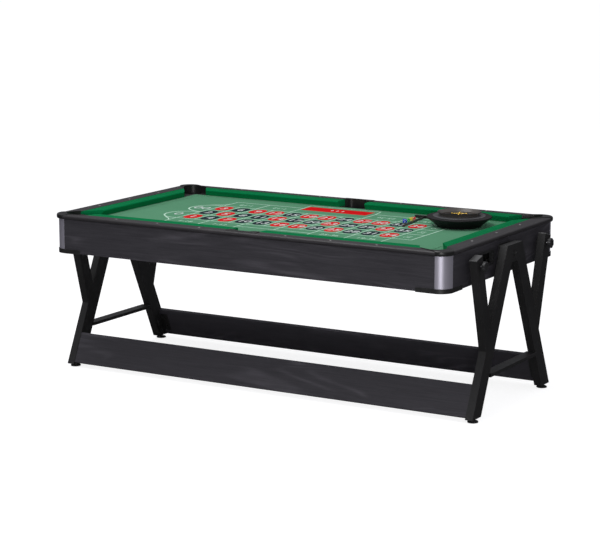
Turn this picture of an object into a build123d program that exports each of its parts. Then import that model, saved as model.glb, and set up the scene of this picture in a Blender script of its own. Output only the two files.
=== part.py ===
from build123d import *
import math
import os

# Flip-over games table: pool side up with a roulette cloth, a small roulette
# wheel, chips and a rake. Millimetres. Origin on the floor under the middle of
# the table, +X along its length, +Y across it, +Z up.

os.makedirs("parts", exist_ok=True)

# --- driving dimensions -------------------------------------------------------
TABLE_LENGTH = 2130
TABLE_WIDTH = 1180
RAIL_TOP = 797
CABINET_BOTTOM = 612
PIVOT_HEIGHT = 710

RAIL_THICKNESS = 22
RAIL_OVERHANG = 8
SIDE_RAIL_WIDTH = 53
END_RAIL_WIDTH = 74
CORNER_RADIUS = 62
NOSE_X = 925
NOSE_Y = 470
SIGHT_RADIUS = 5
END_SIGHT_X = 1020
END_SIGHT_Y = (-258, 0, 258)
SIDE_SIGHT_X = (233, 467, 702)

APRON_THICKNESS = 15
BOARD_THICKNESS = 15
CLOTH = 1.0
BED_TOP = 765
MAT_THICKNESS = 0.8
MAT_SIZE = (1780, 910)

POCKET_RADIUS = 48
SLEEVE_WALL = 3
CORNER_POCKET = (972, 515)
SIDE_POCKET = (0, 519)
SIDE_HOLE = (112, 72)
SIDE_HOLE_ROUND = 30
# where a cushion stops: its nose, then its back edge
SIDE_CUSHION_END = (866, 905)
END_CUSHION_END = (360, 452)
SIDE_MOUTH = (76, 70)
CUSHION_LEAN = 10
CASTING_RISE = 3
CASTING_ROUND = 9
SIDE_CASTING_HALF = 82
SIDE_CASTING_OUTER = 573

OUTLET_Y = (-263, -113)
OUTLET_Z = (680, 735)
OUTLET_RIM = 9
MAIN_GULLY_X = (-1012, 957)
MAIN_GULLY_Z = (691, 674)
GULLY_Y = (455, 560)
CROSS_GULLY_X = (960, 1022)
GULLY_DEPTH = 28
GULLY_WALL = 3
TRAY_FLOOR = 662

SUPPORT_DEPTH = 14
STRINGER_Y = (430, 445)
RIB_PLACES = (-700, -235, 235, 700)

HOCKEY_DEPTH = 32
HOCKEY_RAIL_X = 982
HOCKEY_RAIL_Y = 545
GOAL_HALF = 118
GOAL_WALL = 4

FRAME_INNER_X = 1076.6
FRAME_OUTER_X = 1114.1
TUBE_WALL = 2.0
LEG_SLOPE = -0.4644
LEG_OUTER_AT_FLOOR = 430.6
LEG_INNER_AT_FLOOR = 341.7
ARM_SLOPE = 0.2717
ARM_OUTER_AT_FLOOR = 205.6
ARM_INNER_AT_FLOOR = 139.3
LEG_BOTTOM = 17
APEX_TOP = 755
APEX_NOTCH = 673
ARM_TOP = 741

CROSS_BAR_X = (1071, 1123)
CROSS_BAR_Z = (182.8, 199.2)
PANEL_Z = (27.3, 167)
PANEL_THICKNESS = 18
PANEL_RECESS = 1.8

FOOT_Y = 379
FOOT_PAD_RADIUS = 25
STUD_RADIUS = 5
STUD_CLEARANCE = 0.05

CLAMP_Y = 358
CLAMP_Z = 705
CLAMP_PAD_X = (1066, 1071)
KNOB_X = (1124, 1141)
KNOB_BOSS = 3
KNOB_RADIUS = 24
KNOB_LOBES = 7

PIVOT_BOLT_RADIUS = 6
PIVOT_BUSH_RADIUS = 10

WHEEL_CENTRE = (709, 250)
CHIP_RADIUS = 11
CHIP_THICKNESS = 3.2
CHIPS_PER_STACK = 5

# --- derived levels -----------------------------------------------------------
HALF_L = TABLE_LENGTH / 2
HALF_W = TABLE_WIDTH / 2
RAIL_BOTTOM = RAIL_TOP - RAIL_THICKNESS
APRON_X = HALF_L - RAIL_OVERHANG
APRON_Y = HALF_W - RAIL_OVERHANG
INNER_X = APRON_X - APRON_THICKNESS
INNER_Y = APRON_Y - APRON_THICKNESS
RAIL_INNER_X = HALF_L - END_RAIL_WIDTH
RAIL_INNER_Y = HALF_W - SIDE_RAIL_WIDTH
POST_RADIUS = CORNER_RADIUS - 2
POST_X = APRON_X - POST_RADIUS
POST_Y = APRON_Y - POST_RADIUS
BOARD_CORNER = 45
BOARD_TOP = BED_TOP - CLOTH
BOARD_BOTTOM = BOARD_TOP - BOARD_THICKNESS
HOCKEY_FACE = CABINET_BOTTOM + HOCKEY_DEPTH
HOCKEY_BACK = HOCKEY_FACE + 12
MAT_TOP = BED_TOP + MAT_THICKNESS
CASTING_TOP = RAIL_TOP + CASTING_RISE
LEG_COS = 1 / math.hypot(1, LEG_SLOPE)
FRAME_MID_X = (FRAME_INNER_X + FRAME_OUTER_X) / 2
QUADRANTS = ((1, 1), (1, -1), (-1, 1), (-1, -1))


# --- helpers ------------------------------------------------------------------
def block(x0, x1, y0, y1, z0, z1):
    """Box between two corners."""
    centre = Pos((x0 + x1) / 2, (y0 + y1) / 2, (z0 + z1) / 2)
    return centre * Box(abs(x1 - x0), abs(y1 - y0), abs(z1 - z0))


def rod_x(x0, x1, y, z, radius):
    """Round bar along X."""
    return Pos((x0 + x1) / 2, y, z) * Rot(0, 90, 0) * Cylinder(radius, x1 - x0)


def rod_z(x, y, z0, z1, radius):
    """Round bar along Z."""
    return Pos(x, y, (z0 + z1) / 2) * Cylinder(radius, z1 - z0)


def prism_x(points, x0, x1):
    """Polygon given as (y, z), extruded from x0 to x1."""
    face = Plane.YZ.offset(x0) * Polygon(*points, align=None)
    return extrude(face, x1 - x0, dir=(1, 0, 0))


def prism_z(points, z0, z1):
    """Polygon given as (x, y), extruded from z0 to z1."""
    face = Pos(0, 0, z0) * Polygon(*points, align=None)
    return extrude(face, z1 - z0, dir=(0, 0, 1))


def prism_y(points, y0, y1):
    """Polygon given as (x, z), extruded from y0 to y1."""
    face = Plane.XZ.offset(-y0) * Polygon(*points, align=None)
    return extrude(face, y1 - y0, dir=(0, 1, 0))


def flip_x(shape):
    return mirror(shape, about=Plane.YZ)


def flip_y(shape):
    return mirror(shape, about=Plane.XZ)


def place(shape, sx, sy):
    """Copy of a shape from the +X +Y quadrant in another quadrant."""
    if sx < 0:
        shape = flip_x(shape)
    if sy < 0:
        shape = flip_y(shape)
    return shape


def four(shape):
    return [place(shape, sx, sy) for sx, sy in QUADRANTS]


def save(name, *shapes):
    """Write one node; every solid in it stays a separate solid."""
    solids = []
    for shape in shapes:
        solids.extend(shape.solids())
    body = solids[0] if len(solids) == 1 else Compound(solids)
    export_step(body, f"parts/{name}.step")


def rounded_board(z0, z1):
    """Board that fills the cabinet, corners rounded to clear the posts."""
    outline = RectangleRounded(2 * INNER_X, 2 * INNER_Y, BOARD_CORNER)
    return extrude(Pos(0, 0, z0) * outline, z1 - z0)


def pocket_places():
    """Centres of the six pockets."""
    corners = [(sx * CORNER_POCKET[0], sy * CORNER_POCKET[1]) for sx, sy in QUADRANTS]
    sides = [(SIDE_POCKET[0], sy * SIDE_POCKET[1]) for sy in (1, -1)]
    return corners + sides


# --- welded end frames --------------------------------------------------------
def leg_outer(z):
    return LEG_OUTER_AT_FLOOR + LEG_SLOPE * z


def leg_inner(z):
    return LEG_INNER_AT_FLOOR + LEG_SLOPE * z


def arm_outer(z):
    return ARM_OUTER_AT_FLOOR + ARM_SLOPE * z


def arm_inner(z):
    return ARM_INNER_AT_FLOOR + ARM_SLOPE * z


def arm_end(extra):
    """Square-cut end of an arm, as its outer and inner corner."""
    scale = math.hypot(1, ARM_SLOPE)
    half = (ARM_OUTER_AT_FLOOR - ARM_INNER_AT_FLOOR) / 2 / scale
    z = ARM_TOP + extra / scale
    y = (arm_outer(z) + arm_inner(z)) / 2
    dy = half / scale
    dz = half * ARM_SLOPE / scale
    return (y + dy, z - dz), (y - dy, z + dz)


def frame_outline(extra):
    """Silhouette of an end frame: two legs, a flat apex and two arms."""
    low = LEG_BOTTOM - extra
    z_arm_out = (LEG_OUTER_AT_FLOOR - ARM_OUTER_AT_FLOOR) / (ARM_SLOPE - LEG_SLOPE)
    z_arm_in = (LEG_OUTER_AT_FLOOR - ARM_INNER_AT_FLOOR) / (ARM_SLOPE - LEG_SLOPE)
    tip_out, tip_in = arm_end(extra)
    half = [
        (leg_inner(APEX_NOTCH), APEX_NOTCH),
        (leg_inner(low), low),
        (leg_outer(low), low),
        (leg_outer(z_arm_out), z_arm_out),
        tip_out,
        tip_in,
        (leg_outer(z_arm_in), z_arm_in),
        (leg_outer(APEX_TOP), APEX_TOP),
    ]
    return half + [(-y, z) for y, z in reversed(half)]


def frame_void():
    """Hollow inside the tubes, open at the arm tips and leg bottoms."""
    outline = Polygon(*frame_outline(20), align=None)
    inner = offset(outline, -TUBE_WALL, kind=Kind.INTERSECTION)
    depth = FRAME_OUTER_X - FRAME_INNER_X - 2 * TUBE_WALL
    return extrude(Plane.YZ.offset(FRAME_INNER_X + TUBE_WALL) * inner, depth)


def frame_tubes():
    """Short tubes welded through the frame, as (y, z, outer radius, bore)."""
    clamp_bore = STUD_RADIUS + STUD_CLEARANCE
    return (
        (0, PIVOT_HEIGHT, PIVOT_BUSH_RADIUS + 3, PIVOT_BUSH_RADIUS),
        (CLAMP_Y, CLAMP_Z, 9, clamp_bore),
        (-CLAMP_Y, CLAMP_Z, 9, clamp_bore),
    )


def leg_frame():
    shell = prism_x(frame_outline(0), FRAME_INNER_X, FRAME_OUTER_X) - frame_void()
    for y, z, radius, _ in frame_tubes():
        shell += rod_x(FRAME_INNER_X, FRAME_OUTER_X, y, z, radius)
    for y, z, _, bore in frame_tubes():
        shell -= rod_x(FRAME_INNER_X - 5, FRAME_OUTER_X + 5, y, z, bore)
    return shell


def cross_bar():
    """Flat tube between the legs, its ends cut to their slope."""
    z0, z1 = CROSS_BAR_Z
    x0, x1 = CROSS_BAR_X
    outer = [(leg_inner(z0), z0), (leg_inner(z1), z1)]
    section = outer + [(-y, z) for y, z in reversed(outer)]
    bar = prism_x(section, x0, x1)
    return bar - block(x0 + 2, x1 - 2, -300, 300, z0 + 2, z1 - 2)


def arm_plug():
    """Plastic cap in the open top of one arm, at +Y."""
    tip_out, tip_in = arm_end(0)
    cap_out, cap_in = arm_end(4)
    deep_out, deep_in = arm_end(-22)
    cap = prism_x([tip_out, tip_in, cap_in, cap_out], FRAME_INNER_X, FRAME_OUTER_X)
    along = Axis((0, 0, 0), (0, ARM_SLOPE, 1))
    cap = fillet(cap.edges().filter_by(Axis.X).group_by(along)[-1], 2.5)
    stub = prism_x([tip_out, tip_in, deep_in, deep_out], FRAME_INNER_X, FRAME_OUTER_X)
    return cap + (stub & frame_void())


def leg_insert():
    """Threaded plug in the open bottom of one leg, at +Y."""
    slab = block(FRAME_INNER_X, FRAME_OUTER_X, 0, 500, LEG_BOTTOM, LEG_BOTTOM + 30)
    plug = slab & frame_void()
    bore = STUD_RADIUS + STUD_CLEARANCE
    return plug - rod_z(FRAME_MID_X, FOOT_Y, 0, 60, bore)


def pivot_bush():
    """Nylon bush with an outer flange, pressed in the apex tube."""
    z = PIVOT_HEIGHT
    bush = rod_x(FRAME_INNER_X, FRAME_OUTER_X, 0, z, PIVOT_BUSH_RADIUS)
    bush += rod_x(FRAME_OUTER_X, FRAME_OUTER_X + 2, 0, z, PIVOT_BUSH_RADIUS + 4)
    bore = PIVOT_BOLT_RADIUS + STUD_CLEARANCE
    return bush - rod_x(FRAME_INNER_X - 5, FRAME_OUTER_X + 5, 0, z, bore)


# --- stretcher panels and their brackets --------------------------------------
def panel_section(inset, thickness, z0, z1):
    """Strip that leans with the legs; inset is measured in from their edge."""
    ny, nz = LEG_COS, -LEG_SLOPE * LEG_COS
    base = leg_outer(z0), z0
    top = leg_outer(z1), z1
    near = inset
    far = inset + thickness
    return [
        (base[0] - ny * near, base[1] - nz * near),
        (base[0] - ny * far, base[1] - nz * far),
        (top[0] - ny * far, top[1] - nz * far),
        (top[0] - ny * near, top[1] - nz * near),
    ]


def stretcher_panel():
    section = panel_section(PANEL_RECESS, PANEL_THICKNESS, *PANEL_Z)
    return prism_x(section, -FRAME_INNER_X, FRAME_INNER_X)


def bracket_blank(inset, thickness, x0, x1):
    return prism_x(panel_section(inset, thickness, 50, 144), x0, x1)


def panel_bracket():
    """Steel angle behind the panel, against the frame's inner face."""
    inset = PANEL_RECESS + PANEL_THICKNESS
    along = bracket_blank(inset, 2.5, FRAME_INNER_X - 40, FRAME_INNER_X)
    across = bracket_blank(inset, 40, FRAME_INNER_X - 2.5, FRAME_INNER_X)
    return along + across


def bracket_point(depth, z):
    """Point at a depth behind the leg's outer edge, level with z on it."""
    ny, nz = LEG_COS, -LEG_SLOPE * LEG_COS
    return leg_outer(z) - ny * depth, z - nz * depth


def bracket_bolts():
    """Two bolt heads into the frame and two into the panel."""
    inset = PANEL_RECESS + PANEL_THICKNESS
    heads = []
    for z in (75, 120):
        y, zz = bracket_point(inset + 24, z)
        heads.append(rod_x(FRAME_INNER_X - 7.5, FRAME_INNER_X - 2.5, y, zz, 6.5))
        y, zz = bracket_point(inset + 2.5 + 2, z)
        lean = math.degrees(math.atan(-LEG_SLOPE))
        seat = Pos(FRAME_INNER_X - 22, y, zz) * Rot(lean, 0, 0) * Rot(90, 0, 0)
        heads.append(seat * Cylinder(6, 4))
    return heads


# --- levelling feet and clamp knobs -------------------------------------------
def foot_pad():
    """Moulded foot disc with a socket for the stud."""
    pad = rod_z(FRAME_MID_X, FOOT_Y, 0, 7, FOOT_PAD_RADIUS)
    pad = chamfer(pad.edges().group_by(Axis.Z)[-1], 2)
    pad += rod_z(FRAME_MID_X, FOOT_Y, 7, 11, 12)
    return pad - rod_z(FRAME_MID_X, FOOT_Y, 4, 20, STUD_RADIUS + STUD_CLEARANCE)


def foot_stud():
    """Threaded stud with an adjusting hexagon under the leg."""
    stud = rod_z(FRAME_MID_X, FOOT_Y, 4.1, 52, STUD_RADIUS)
    hexagon = Pos(FRAME_MID_X, FOOT_Y, 11.3) * RegularPolygon(8.5, 6)
    return stud + extrude(hexagon, 4.5)


def clamp_pad():
    """Swivel pad that presses on the end apron."""
    x0, x1 = CLAMP_PAD_X
    pad = rod_x(x0, x1, CLAMP_Y, CLAMP_Z, 15)
    pad = chamfer(pad.edges().group_by(Axis.X)[0], 1)
    socket = rod_x(x0 + 2, x1 + 5, CLAMP_Y, CLAMP_Z, STUD_RADIUS + STUD_CLEARANCE)
    return pad - socket


def knob_outline():
    """Lobed grip, as a circle with seven shallow scallops."""
    grip = Circle(KNOB_RADIUS)
    for k in range(KNOB_LOBES):
        angle = math.radians(360 / KNOB_LOBES * k)
        reach = KNOB_RADIUS + 7
        grip -= Pos(reach * math.cos(angle), reach * math.sin(angle)) * Circle(9.5)
    return grip


def clamp_knob():
    """Grip moulded on its threaded stud."""
    x0, x1 = KNOB_X
    depth = x1 - x0 - KNOB_BOSS
    grip = extrude(Plane.YZ.offset(x0 + KNOB_BOSS) * knob_outline(), depth)
    grip = chamfer(grip.edges().group_by(Axis.X)[-1], 2)
    grip = Pos(0, CLAMP_Y, CLAMP_Z) * grip
    grip += rod_x(x0, x0 + KNOB_BOSS, CLAMP_Y, CLAMP_Z, 12)
    grip -= rod_x(x1 - 2, x1 + 1, CLAMP_Y, CLAMP_Z, 12)
    return grip + rod_x(CLAMP_PAD_X[0] + 2.1, x0, CLAMP_Y, CLAMP_Z, STUD_RADIUS)


# --- pivots -------------------------------------------------------------------
def pivot_plate():
    """Steel plate on the end apron with a welded boss that fills the gap."""
    z = PIVOT_HEIGHT
    plate = block(APRON_X, APRON_X + 4, -60, 60, z - 45, z + 45)
    plate = fillet(plate.edges().filter_by(Axis.X), 10)
    plate += rod_x(APRON_X + 4, FRAME_INNER_X - 0.4, 0, z, 15)
    plate -= rod_x(APRON_X - 5, FRAME_INNER_X, 0, z, PIVOT_BOLT_RADIUS)
    for y, dz in plate_screw_places():
        plate -= rod_x(APRON_X - 1, APRON_X + 5, y, z + dz, 2.5)
    return plate


def plate_screw_places():
    return ((45, 32), (-45, 32), (45, -32), (-45, -32))


def plate_screws():
    z = PIVOT_HEIGHT
    screws = []
    for y, dz in plate_screw_places():
        head = rod_x(APRON_X + 4, APRON_X + 6.5, y, z + dz, 5)
        shank = rod_x(APRON_X - 10, APRON_X + 4, y, z + dz, 2.5)
        screws.append(head + shank)
    return screws


def pivot_bolt():
    """Cap bolt from outside, through the bush, screwed in the boss."""
    z = PIVOT_HEIGHT
    head_x = FRAME_OUTER_X + 2.1
    bolt = rod_x(APRON_X - 8, head_x, 0, z, PIVOT_BOLT_RADIUS)
    bolt += rod_x(head_x, head_x + 8, 0, z, 10)
    bolt = chamfer(bolt.edges().group_by(Axis.X)[-1], 1)
    socket = Plane.YZ.offset(head_x + 3) * Pos(0, z) * RegularPolygon(5.5, 6)
    return bolt - extrude(socket, 6)


# --- cabinet ------------------------------------------------------------------
def side_apron():
    """Long board between two corner posts, at +Y."""
    x = POST_X
    return block(-x, x, INNER_Y, APRON_Y, CABINET_BOTTOM, RAIL_BOTTOM)


def end_apron():
    """End board with clearance holes for the pivot hardware."""
    y = POST_Y
    board = block(INNER_X, APRON_X, -y, y, CABINET_BOTTOM, RAIL_BOTTOM)
    board -= rod_x(APRON_X - 9, APRON_X + 1, 0, PIVOT_HEIGHT, PIVOT_BOLT_RADIUS)
    for py, dz in plate_screw_places():
        board -= rod_x(APRON_X - 10, APRON_X + 1, py, PIVOT_HEIGHT + dz, 2.5)
    return board


def outlet_opening(grow):
    """Rounded ball-return opening through the end board."""
    y0, y1 = OUTLET_Y
    z0, z1 = OUTLET_Z
    hole = block(INNER_X - 5, APRON_X + 5, y0 - grow, y1 + grow, z0 - grow, z1 + grow)
    return fillet(hole.edges().filter_by(Axis.X), 8 + grow)


def corner_post():
    """Quarter-round corner cover between rail and cabinet bottom."""
    ring = rod_z(POST_X, POST_Y, CABINET_BOTTOM, RAIL_BOTTOM, POST_RADIUS)
    ring -= rod_z(POST_X, POST_Y, CABINET_BOTTOM, RAIL_BOTTOM, POST_RADIUS - 4)
    quarter = block(POST_X, APRON_X, POST_Y, APRON_Y, CABINET_BOTTOM, RAIL_BOTTOM)
    return ring & quarter


def guard_plan(grow):
    """Cabinet outline at one bottom corner, grown outwards."""
    size_x = 2 * (APRON_X + grow)
    size_y = 2 * (APRON_Y + grow)
    return RectangleRounded(size_x, size_y, POST_RADIUS + grow)


def corner_guard():
    """L-shaped plastic guard under and around a bottom corner."""
    z0, z1 = CABINET_BOTTOM - 3, CABINET_BOTTOM + 18
    shell = extrude(Pos(0, 0, z0) * guard_plan(3), z1 - z0)
    shell -= extrude(Pos(0, 0, CABINET_BOTTOM) * guard_plan(0), 40)
    shell -= extrude(Pos(0, 0, z0 - 1) * guard_plan(-27), 20)
    side = block(APRON_X - 152, APRON_X + 5, INNER_Y - 20, APRON_Y + 5, z0, z1)
    end = block(INNER_X - 20, APRON_X + 5, APRON_Y - 152, APRON_Y + 5, z0, z1)
    shell &= side + end
    return chamfer(shell.edges().group_by(Axis.Z)[0].filter_by(GeomType.CIRCLE)[-1:], 2)


def corner_block():
    """Softwood block that ties two aprons together behind a post."""
    top = BOARD_BOTTOM - SUPPORT_DEPTH
    post_block = block(1024, INNER_X, 475, INNER_Y, HOCKEY_BACK, top)
    corner = block(POST_X, INNER_X, POST_Y, INNER_Y, HOCKEY_BACK, top)
    corner -= rod_z(POST_X, POST_Y, HOCKEY_BACK, top, POST_RADIUS - 4.5)
    return post_block - corner


def hole(place, grow, z0, z1):
    """Plug that fills one pocket's hole; the side holes are rounded slots."""
    x, y = place
    if x:
        return rod_z(x, y, z0, z1, POCKET_RADIUS + grow)
    length, width = (size + 2 * grow for size in SIDE_HOLE)
    outline = RectangleRounded(length, width, SIDE_HOLE_ROUND + grow)
    return extrude(Pos(x, y, z0) * outline, z1 - z0)


def notched(shape):
    """Cut a bearer back where a pocket sleeve hangs below the bed."""
    for place_xy in pocket_places():
        shape -= hole(place_xy, SLEEVE_WALL, BOARD_BOTTOM - SUPPORT_DEPTH, BED_TOP)
    return shape


def ledgers():
    """Strips on the aprons that carry the edge of the bed."""
    z0, z1 = BOARD_BOTTOM - SUPPORT_DEPTH, BOARD_BOTTOM
    side = block(-990, 990, INNER_Y - 15, INNER_Y, z0, z1)
    end = block(INNER_X - 15, INNER_X, -515, 515, z0, z1)
    return [side, flip_y(side), end, flip_x(end)]


def stringer():
    """Long bearer under the bed, beside a gully."""
    return block(-INNER_X, MAIN_GULLY_X[1], *STRINGER_Y, HOCKEY_BACK, BOARD_BOTTOM)


def ribs():
    """Cross bearers between the two stringers."""
    y = STRINGER_Y[0]
    return [block(x - 7, x + 7, -y, y, HOCKEY_BACK, BOARD_BOTTOM) for x in RIB_PLACES]


# --- ball return --------------------------------------------------------------
def channel_x(x0, x1, y0, y1, z_left, z_right):
    """Sloping U-channel along X."""
    depth = GULLY_DEPTH
    side = [(x0, z_left), (x1, z_right), (x1, z_right + depth), (x0, z_left + depth)]
    floor = [(x, z + GULLY_WALL) for x, z in side]
    return prism_y(side, y0, y1) - prism_y(floor, y0 + GULLY_WALL, y1 - GULLY_WALL)


def main_gully():
    """Channel under three pockets, falling towards +X."""
    x0, x1 = MAIN_GULLY_X
    y0, y1 = GULLY_Y
    z_left, z_right = MAIN_GULLY_Z
    trough = channel_x(x0, x1, y0, y1, z_left, z_right)
    end_wall = block(x0, x0 + GULLY_WALL, y0, y1, z_left + 2, z_left + GULLY_DEPTH - 3)
    return trough + end_wall


def cross_gully(side_sign, y_near, z_far):
    """Channel across the +X end, falling from one side towards the outlet."""
    y_far = side_sign * GULLY_Y[1]
    z_near = TRAY_FLOOR + 1
    x0, x1 = CROSS_GULLY_X
    depth = GULLY_DEPTH
    wall = GULLY_WALL
    side = [(y_far, z_far), (y_near, z_near), (y_near, z_near + depth), (y_far, z_far + depth)]
    floor = [(y, z + wall) for y, z in side]
    trough = prism_x(side, x0, x1) - prism_x(floor, x0 + wall, x1 - wall)
    near, far = side_sign * (GULLY_Y[0] + wall), side_sign * (GULLY_Y[1] - wall)
    trough -= block(x0 - 10, x0 + 10, near, far, z_far, z_far + 60)
    end_wall = block(x0, x1, y_far, y_far - side_sign * wall, z_far, z_far + depth - 1)
    lip = block(x0, x0 + 10, near, far, z_far - wall, z_far)
    return trough + end_wall + lip


def ball_tray():
    """Tray behind the outlet with a sleeve and a flange through the apron."""
    y0, y1 = OUTLET_Y
    z0, z1 = OUTLET_Z
    x0 = CROSS_GULLY_X[0]
    bottom = TRAY_FLOOR
    tray = block(x0, INNER_X, y0, y1, bottom, bottom + GULLY_WALL)
    tray += block(x0, x0 + GULLY_WALL, y0, y1, bottom, bottom + 38)
    tray += block(INNER_X - 4, INNER_X, y0, y1, bottom, z0 + 3)
    sleeve = block(INNER_X - 4, APRON_X, y0, y1, z0, z1) & outlet_opening(0)
    rim = OUTLET_RIM
    flange = block(APRON_X, APRON_X + 1.5, y0 - rim, y1 + rim, z0 - rim, z1 + rim)
    flange = fillet(flange.edges().filter_by(Axis.X), 12)
    hole = block(INNER_X - 30, APRON_X + 5, y0 + 3, y1 - 3, z0 + 3, z1 - 3)
    hole = fillet(hole.edges().filter_by(Axis.X), 5)
    return tray + ((sleeve + flange) - hole)


# --- bed, cloth and mat -------------------------------------------------------
def drilled(shape):
    """Board or cloth with an opening for each pocket's sleeve."""
    for place_xy in pocket_places():
        shape -= hole(place_xy, SLEEVE_WALL, BOARD_BOTTOM - 1, BED_TOP + 1)
    return shape


def bed_board():
    return drilled(rounded_board(BOARD_BOTTOM, BOARD_TOP))


def bed_cloth():
    """Cloth cut straight across every pocket mouth, where the castings lie flush."""
    cloth = drilled(rounded_board(BOARD_TOP, BED_TOP))
    for flange in four(corner_flange()):
        cloth -= flange
    return cloth - side_flange() - flip_y(side_flange())


def layout_mat():
    outline = RectangleRounded(MAT_SIZE[0], MAT_SIZE[1], 12)
    return extrude(Pos(0, 0, BED_TOP) * outline, MAT_THICKNESS)


# --- rails, cushions and pocket castings --------------------------------------
def rail_section(inner, outer, seat):
    """Rail profile: flat top, half-round outer edge, inner foot on the bed."""
    r = RAIL_THICKNESS / 2
    mid = RAIL_TOP - r
    path = Polyline((outer - r, RAIL_BOTTOM), (seat, RAIL_BOTTOM), (seat, BED_TOP),
                    (inner, BED_TOP), (inner, RAIL_TOP), (outer - r, RAIL_TOP))
    nose = ThreePointArc((outer - r, RAIL_TOP), (outer, mid), (outer - r, RAIL_BOTTOM))
    return make_face(path + nose)


def side_rail_bar():
    face = rail_section(RAIL_INNER_Y, HALF_W, INNER_Y - 0.5)
    return extrude(Plane.YZ * face, HALF_L, both=True)


def end_rail_bar():
    face = rail_section(RAIL_INNER_X, HALF_L, INNER_X - 0.5)
    return extrude(Plane.XZ * face, HALF_W, both=True)


def corner_cut():
    """Plan of one corner casting, as straight edges."""
    return [
        (SIDE_CUSHION_END[1], RAIL_INNER_Y),
        (HALF_L - CORNER_RADIUS, HALF_W),
        (HALF_L, HALF_W - CORNER_RADIUS),
        (RAIL_INNER_X, END_CUSHION_END[1]),
    ]


def side_rail():
    """Long rail between two corner castings, notched for the side casting."""
    inner, outer = corner_cut()[:2]
    keep = [inner, outer, (-outer[0], outer[1]), (-inner[0], inner[1])]
    bar = side_rail_bar() & prism_z(keep, 700, 900)
    half = SIDE_CASTING_HALF
    bar -= block(-half, half, RAIL_INNER_Y - 1, SIDE_CASTING_OUTER, 700, 900)
    y = HALF_W - SIDE_RAIL_WIDTH / 2
    for x in SIDE_SIGHT_X:
        for sign in (1, -1):
            bar -= rod_z(sign * x, y, RAIL_TOP - 1, RAIL_TOP + 1, SIGHT_RADIUS)
    return bar


def end_rail():
    outer, inner = corner_cut()[2:]
    keep = [inner, outer, (outer[0], -outer[1]), (inner[0], -inner[1])]
    bar = end_rail_bar() & prism_z(keep, 700, 900)
    for y in END_SIGHT_Y:
        bar -= rod_z(END_SIGHT_X, y, RAIL_TOP - 1, RAIL_TOP + 1, SIGHT_RADIUS)
    return bar


def sight(x, y):
    return rod_z(x, y, RAIL_TOP - 1, RAIL_TOP + 0.3, SIGHT_RADIUS)


def sights():
    y_side = HALF_W - SIDE_RAIL_WIDTH / 2
    discs = []
    for s in (1, -1):
        discs += [sight(s * END_SIGHT_X, y) for y in END_SIGHT_Y]
        discs += [sight(x, s * y_side) for x in SIDE_SIGHT_X]
        discs += [sight(-x, s * y_side) for x in SIDE_SIGHT_X]
    return discs


def cushion_section(nose, back):
    """Cushion profile: flat top, small nose, face leaning back to the bed."""
    return [
        (back, RAIL_TOP),
        (nose + 4, RAIL_TOP),
        (nose, RAIL_TOP - 4),
        (nose, RAIL_TOP - 8),
        (nose + CUSHION_LEAN, BED_TOP),
        (back, BED_TOP),
    ]


def side_cushion_bar():
    return prism_x(cushion_section(NOSE_Y, RAIL_INNER_Y), 0, NOSE_X)


def end_cushion_bar():
    profile = Polygon(*cushion_section(NOSE_X, RAIL_INNER_X), align=None)
    return extrude(Plane.XZ * profile, NOSE_Y, both=True)


def side_cushion():
    """One long-rail cushion, mitred at the corner, nearly square at the side."""
    near_nose, near_back = SIDE_MOUTH
    far_nose, far_back = SIDE_CUSHION_END
    keep = [(near_nose, NOSE_Y), (far_nose, NOSE_Y)]
    keep += [(far_back, RAIL_INNER_Y), (near_back, RAIL_INNER_Y)]
    return side_cushion_bar() & prism_z(keep, 700, 900)


def end_cushion():
    nose, back = END_CUSHION_END
    keep = [(NOSE_X, nose), (RAIL_INNER_X, back), (RAIL_INNER_X, -back), (NOSE_X, -nose)]
    return end_cushion_bar() & prism_z(keep, 700, 900)


def casting_slab():
    """Table outline with soft edges, as thick as a casting."""
    outline = RectangleRounded(2 * HALF_L, 2 * HALF_W, CORNER_RADIUS)
    slab = extrude(Pos(0, 0, RAIL_BOTTOM) * outline, CASTING_TOP - RAIL_BOTTOM)
    level = slab.edges().group_by(Axis.Z)
    return fillet(level[0] + level[-1], CASTING_ROUND)


def pocket_sleeve(place_xy):
    tube = hole(place_xy, SLEEVE_WALL, BOARD_BOTTOM - SUPPORT_DEPTH, BED_TOP)
    return tube - hole(place_xy, 0, BOARD_BOTTOM - 50, BED_TOP + 1)


def foot_of(ends):
    """Where a cushion's slanted end meets the bed, along the rail."""
    nose, back = ends
    depth = RAIL_INNER_X - NOSE_X if ends is END_CUSHION_END else RAIL_INNER_Y - NOSE_Y
    return nose + (back - nose) * CUSHION_LEAN / depth


def touching_points():
    """Where the walls of a corner mouth run into the hole's far side."""
    x, y = CORNER_POCKET
    side = (SIDE_CUSHION_END[1], RAIL_INNER_Y)
    end = (RAIL_INNER_X, END_CUSHION_END[1])
    points = []
    for (px, py), turn in ((side, -1), (end, 1)):
        lean = turn * math.acos(POCKET_RADIUS / math.hypot(px - x, py - y))
        angle = math.atan2(py - y, px - x) + lean
        points.append((x + POCKET_RADIUS * math.cos(angle), y + POCKET_RADIUS * math.sin(angle)))
    return points


def corner_mouth():
    """Funnel from between two cushion ends to the far side of a corner hole."""
    side = (SIDE_CUSHION_END[1], RAIL_INNER_Y)
    end = (RAIL_INNER_X, END_CUSHION_END[1])
    return [side, *touching_points(), end]


def corner_flange():
    """Flat part of a corner casting, level with the cloth."""
    x, y = NOSE_X + CUSHION_LEAN, NOSE_Y + CUSHION_LEAN
    front = [(x, foot_of(END_CUSHION_END)), (x, y), (foot_of(SIDE_CUSHION_END), y)]
    under_cap = prism_z(corner_cut(), BOARD_TOP, BED_TOP) & rounded_board(BOARD_TOP, BED_TOP)
    return prism_z(front + corner_mouth(), BOARD_TOP, BED_TOP) + under_cap


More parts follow.
